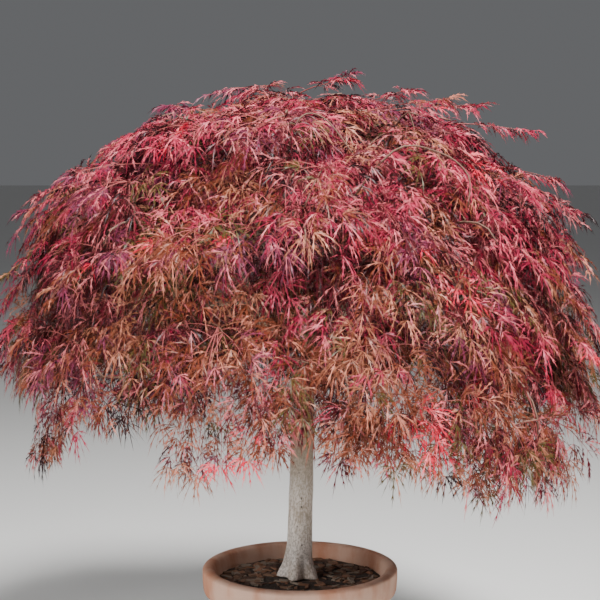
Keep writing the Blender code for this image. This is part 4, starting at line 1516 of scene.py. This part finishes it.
class MAPLE_OT_stage(bpy.types.Operator):
    """Set up the plain floor, the soft studio light and the camera"""

    bl_idname = "maple.stage"
    bl_label = "Stage"
    floor_size = 400.0
    camera_place = (0.0, -3.4, 1.365)
    camera_target = (0.0, 0.0, 1.068)
    light_target = (0.0, 0.0, 1.0)
    # Each light's place and the width of its disk.
    lights = {
        "key": ((0.9, -2.1, 4.4), 1.1),
        "fill": ((-3.2, -2.2, 1.9), 2.6),
        "rim": ((1.2, 3.2, 3.4), 2.2),
    }
    sky_colour = (0.94, 0.96, 1.0)

    def aimed(self, name, data, place, target):
        """A light or camera at a place, turned to its target."""
        obj = bpy.data.objects.new(name, data)
        bpy.context.scene.collection.objects.link(obj)
        obj.location = place
        obj.rotation_euler = (Vector(target) - Vector(place)).to_track_quat("-Z", "Y").to_euler()
        return obj

    def execute(self, context):
        scene, stage = context.scene, context.scene.maple_stage
        bm = bmesh.new()
        bmesh.ops.create_grid(bm, x_segments=1, y_segments=1, size=self.floor_size / 2)
        floor = bpy.data.objects.new("floor", mesh_from("floor", bm))
        floor.data.materials.append(plain("floor", stage.floor, 0.9))
        scene.collection.objects.link(floor)
        for name, (place, size) in self.lights.items():
            lamp = bpy.data.lights.new(name, "AREA")
            lamp.shape = "DISK"
            lamp.size = size
            lamp.energy = getattr(stage, name)
            self.aimed(f"{name}_light", lamp, place, self.light_target)
        scene.world = bpy.data.worlds.new("studio")
        scene.world.use_nodes = True
        background = scene.world.node_tree.nodes["Background"]
        background.inputs["Color"].default_value = (*self.sky_colour, 1.0)
        background.inputs["Strength"].default_value = stage.sky
        lens = bpy.data.cameras.new("camera")
        lens.lens = stage.lens
        scene.camera = self.aimed("camera", lens, self.camera_place, self.camera_target)
        return {"FINISHED"}


OPERATORS = (
    MAPLE_OT_stem,
    MAPLE_OT_boughs,
    MAPLE_OT_twigs,
    MAPLE_OT_leaves,
    MAPLE_OT_pot,
    MAPLE_OT_soil,
    MAPLE_OT_stage,
)
SETTINGS = {
    "maple_foliage": MapleFoliageSettings,
    "maple_wood": MapleWoodSettings,
    "maple_pot": MaplePotSettings,
    "maple_stage": MapleStageSettings,
}


class VIEW3D_PT_maple(bpy.types.Panel):
    """Lists the maple's pieces and their settings"""

    bl_label = "Maple"
    bl_space_type = "VIEW_3D"
    bl_region_type = "UI"
    bl_category = "Maple"

    def draw(self, context):
        for operator in OPERATORS:
            self.layout.operator(operator.bl_idname)
        for name, group in SETTINGS.items():
            box = self.layout.box()
            for setting in group.__annotations__:
                box.prop(getattr(context.scene, name), setting)


def register():
    for group in SETTINGS.values():
        bpy.utils.register_class(group)
    for name, group in SETTINGS.items():
        setattr(bpy.types.Scene, name, PointerProperty(type=group))
    for operator in OPERATORS:
        bpy.utils.register_class(operator)
    bpy.utils.register_class(VIEW3D_PT_maple)


def unregister():
    bpy.utils.unregister_class(VIEW3D_PT_maple)
    for operator in reversed(OPERATORS):
        bpy.utils.unregister_class(operator)
    for name, group in SETTINGS.items():
        delattr(bpy.types.Scene, name)
        bpy.utils.unregister_class(group)


def main():
    register()
    for operator in OPERATORS:
        group, name = operator.bl_idname.split(".")
        getattr(getattr(bpy.ops, group), name)()
    bpy.context.view_layer.update()


if __name__ == "__main__":
    main()
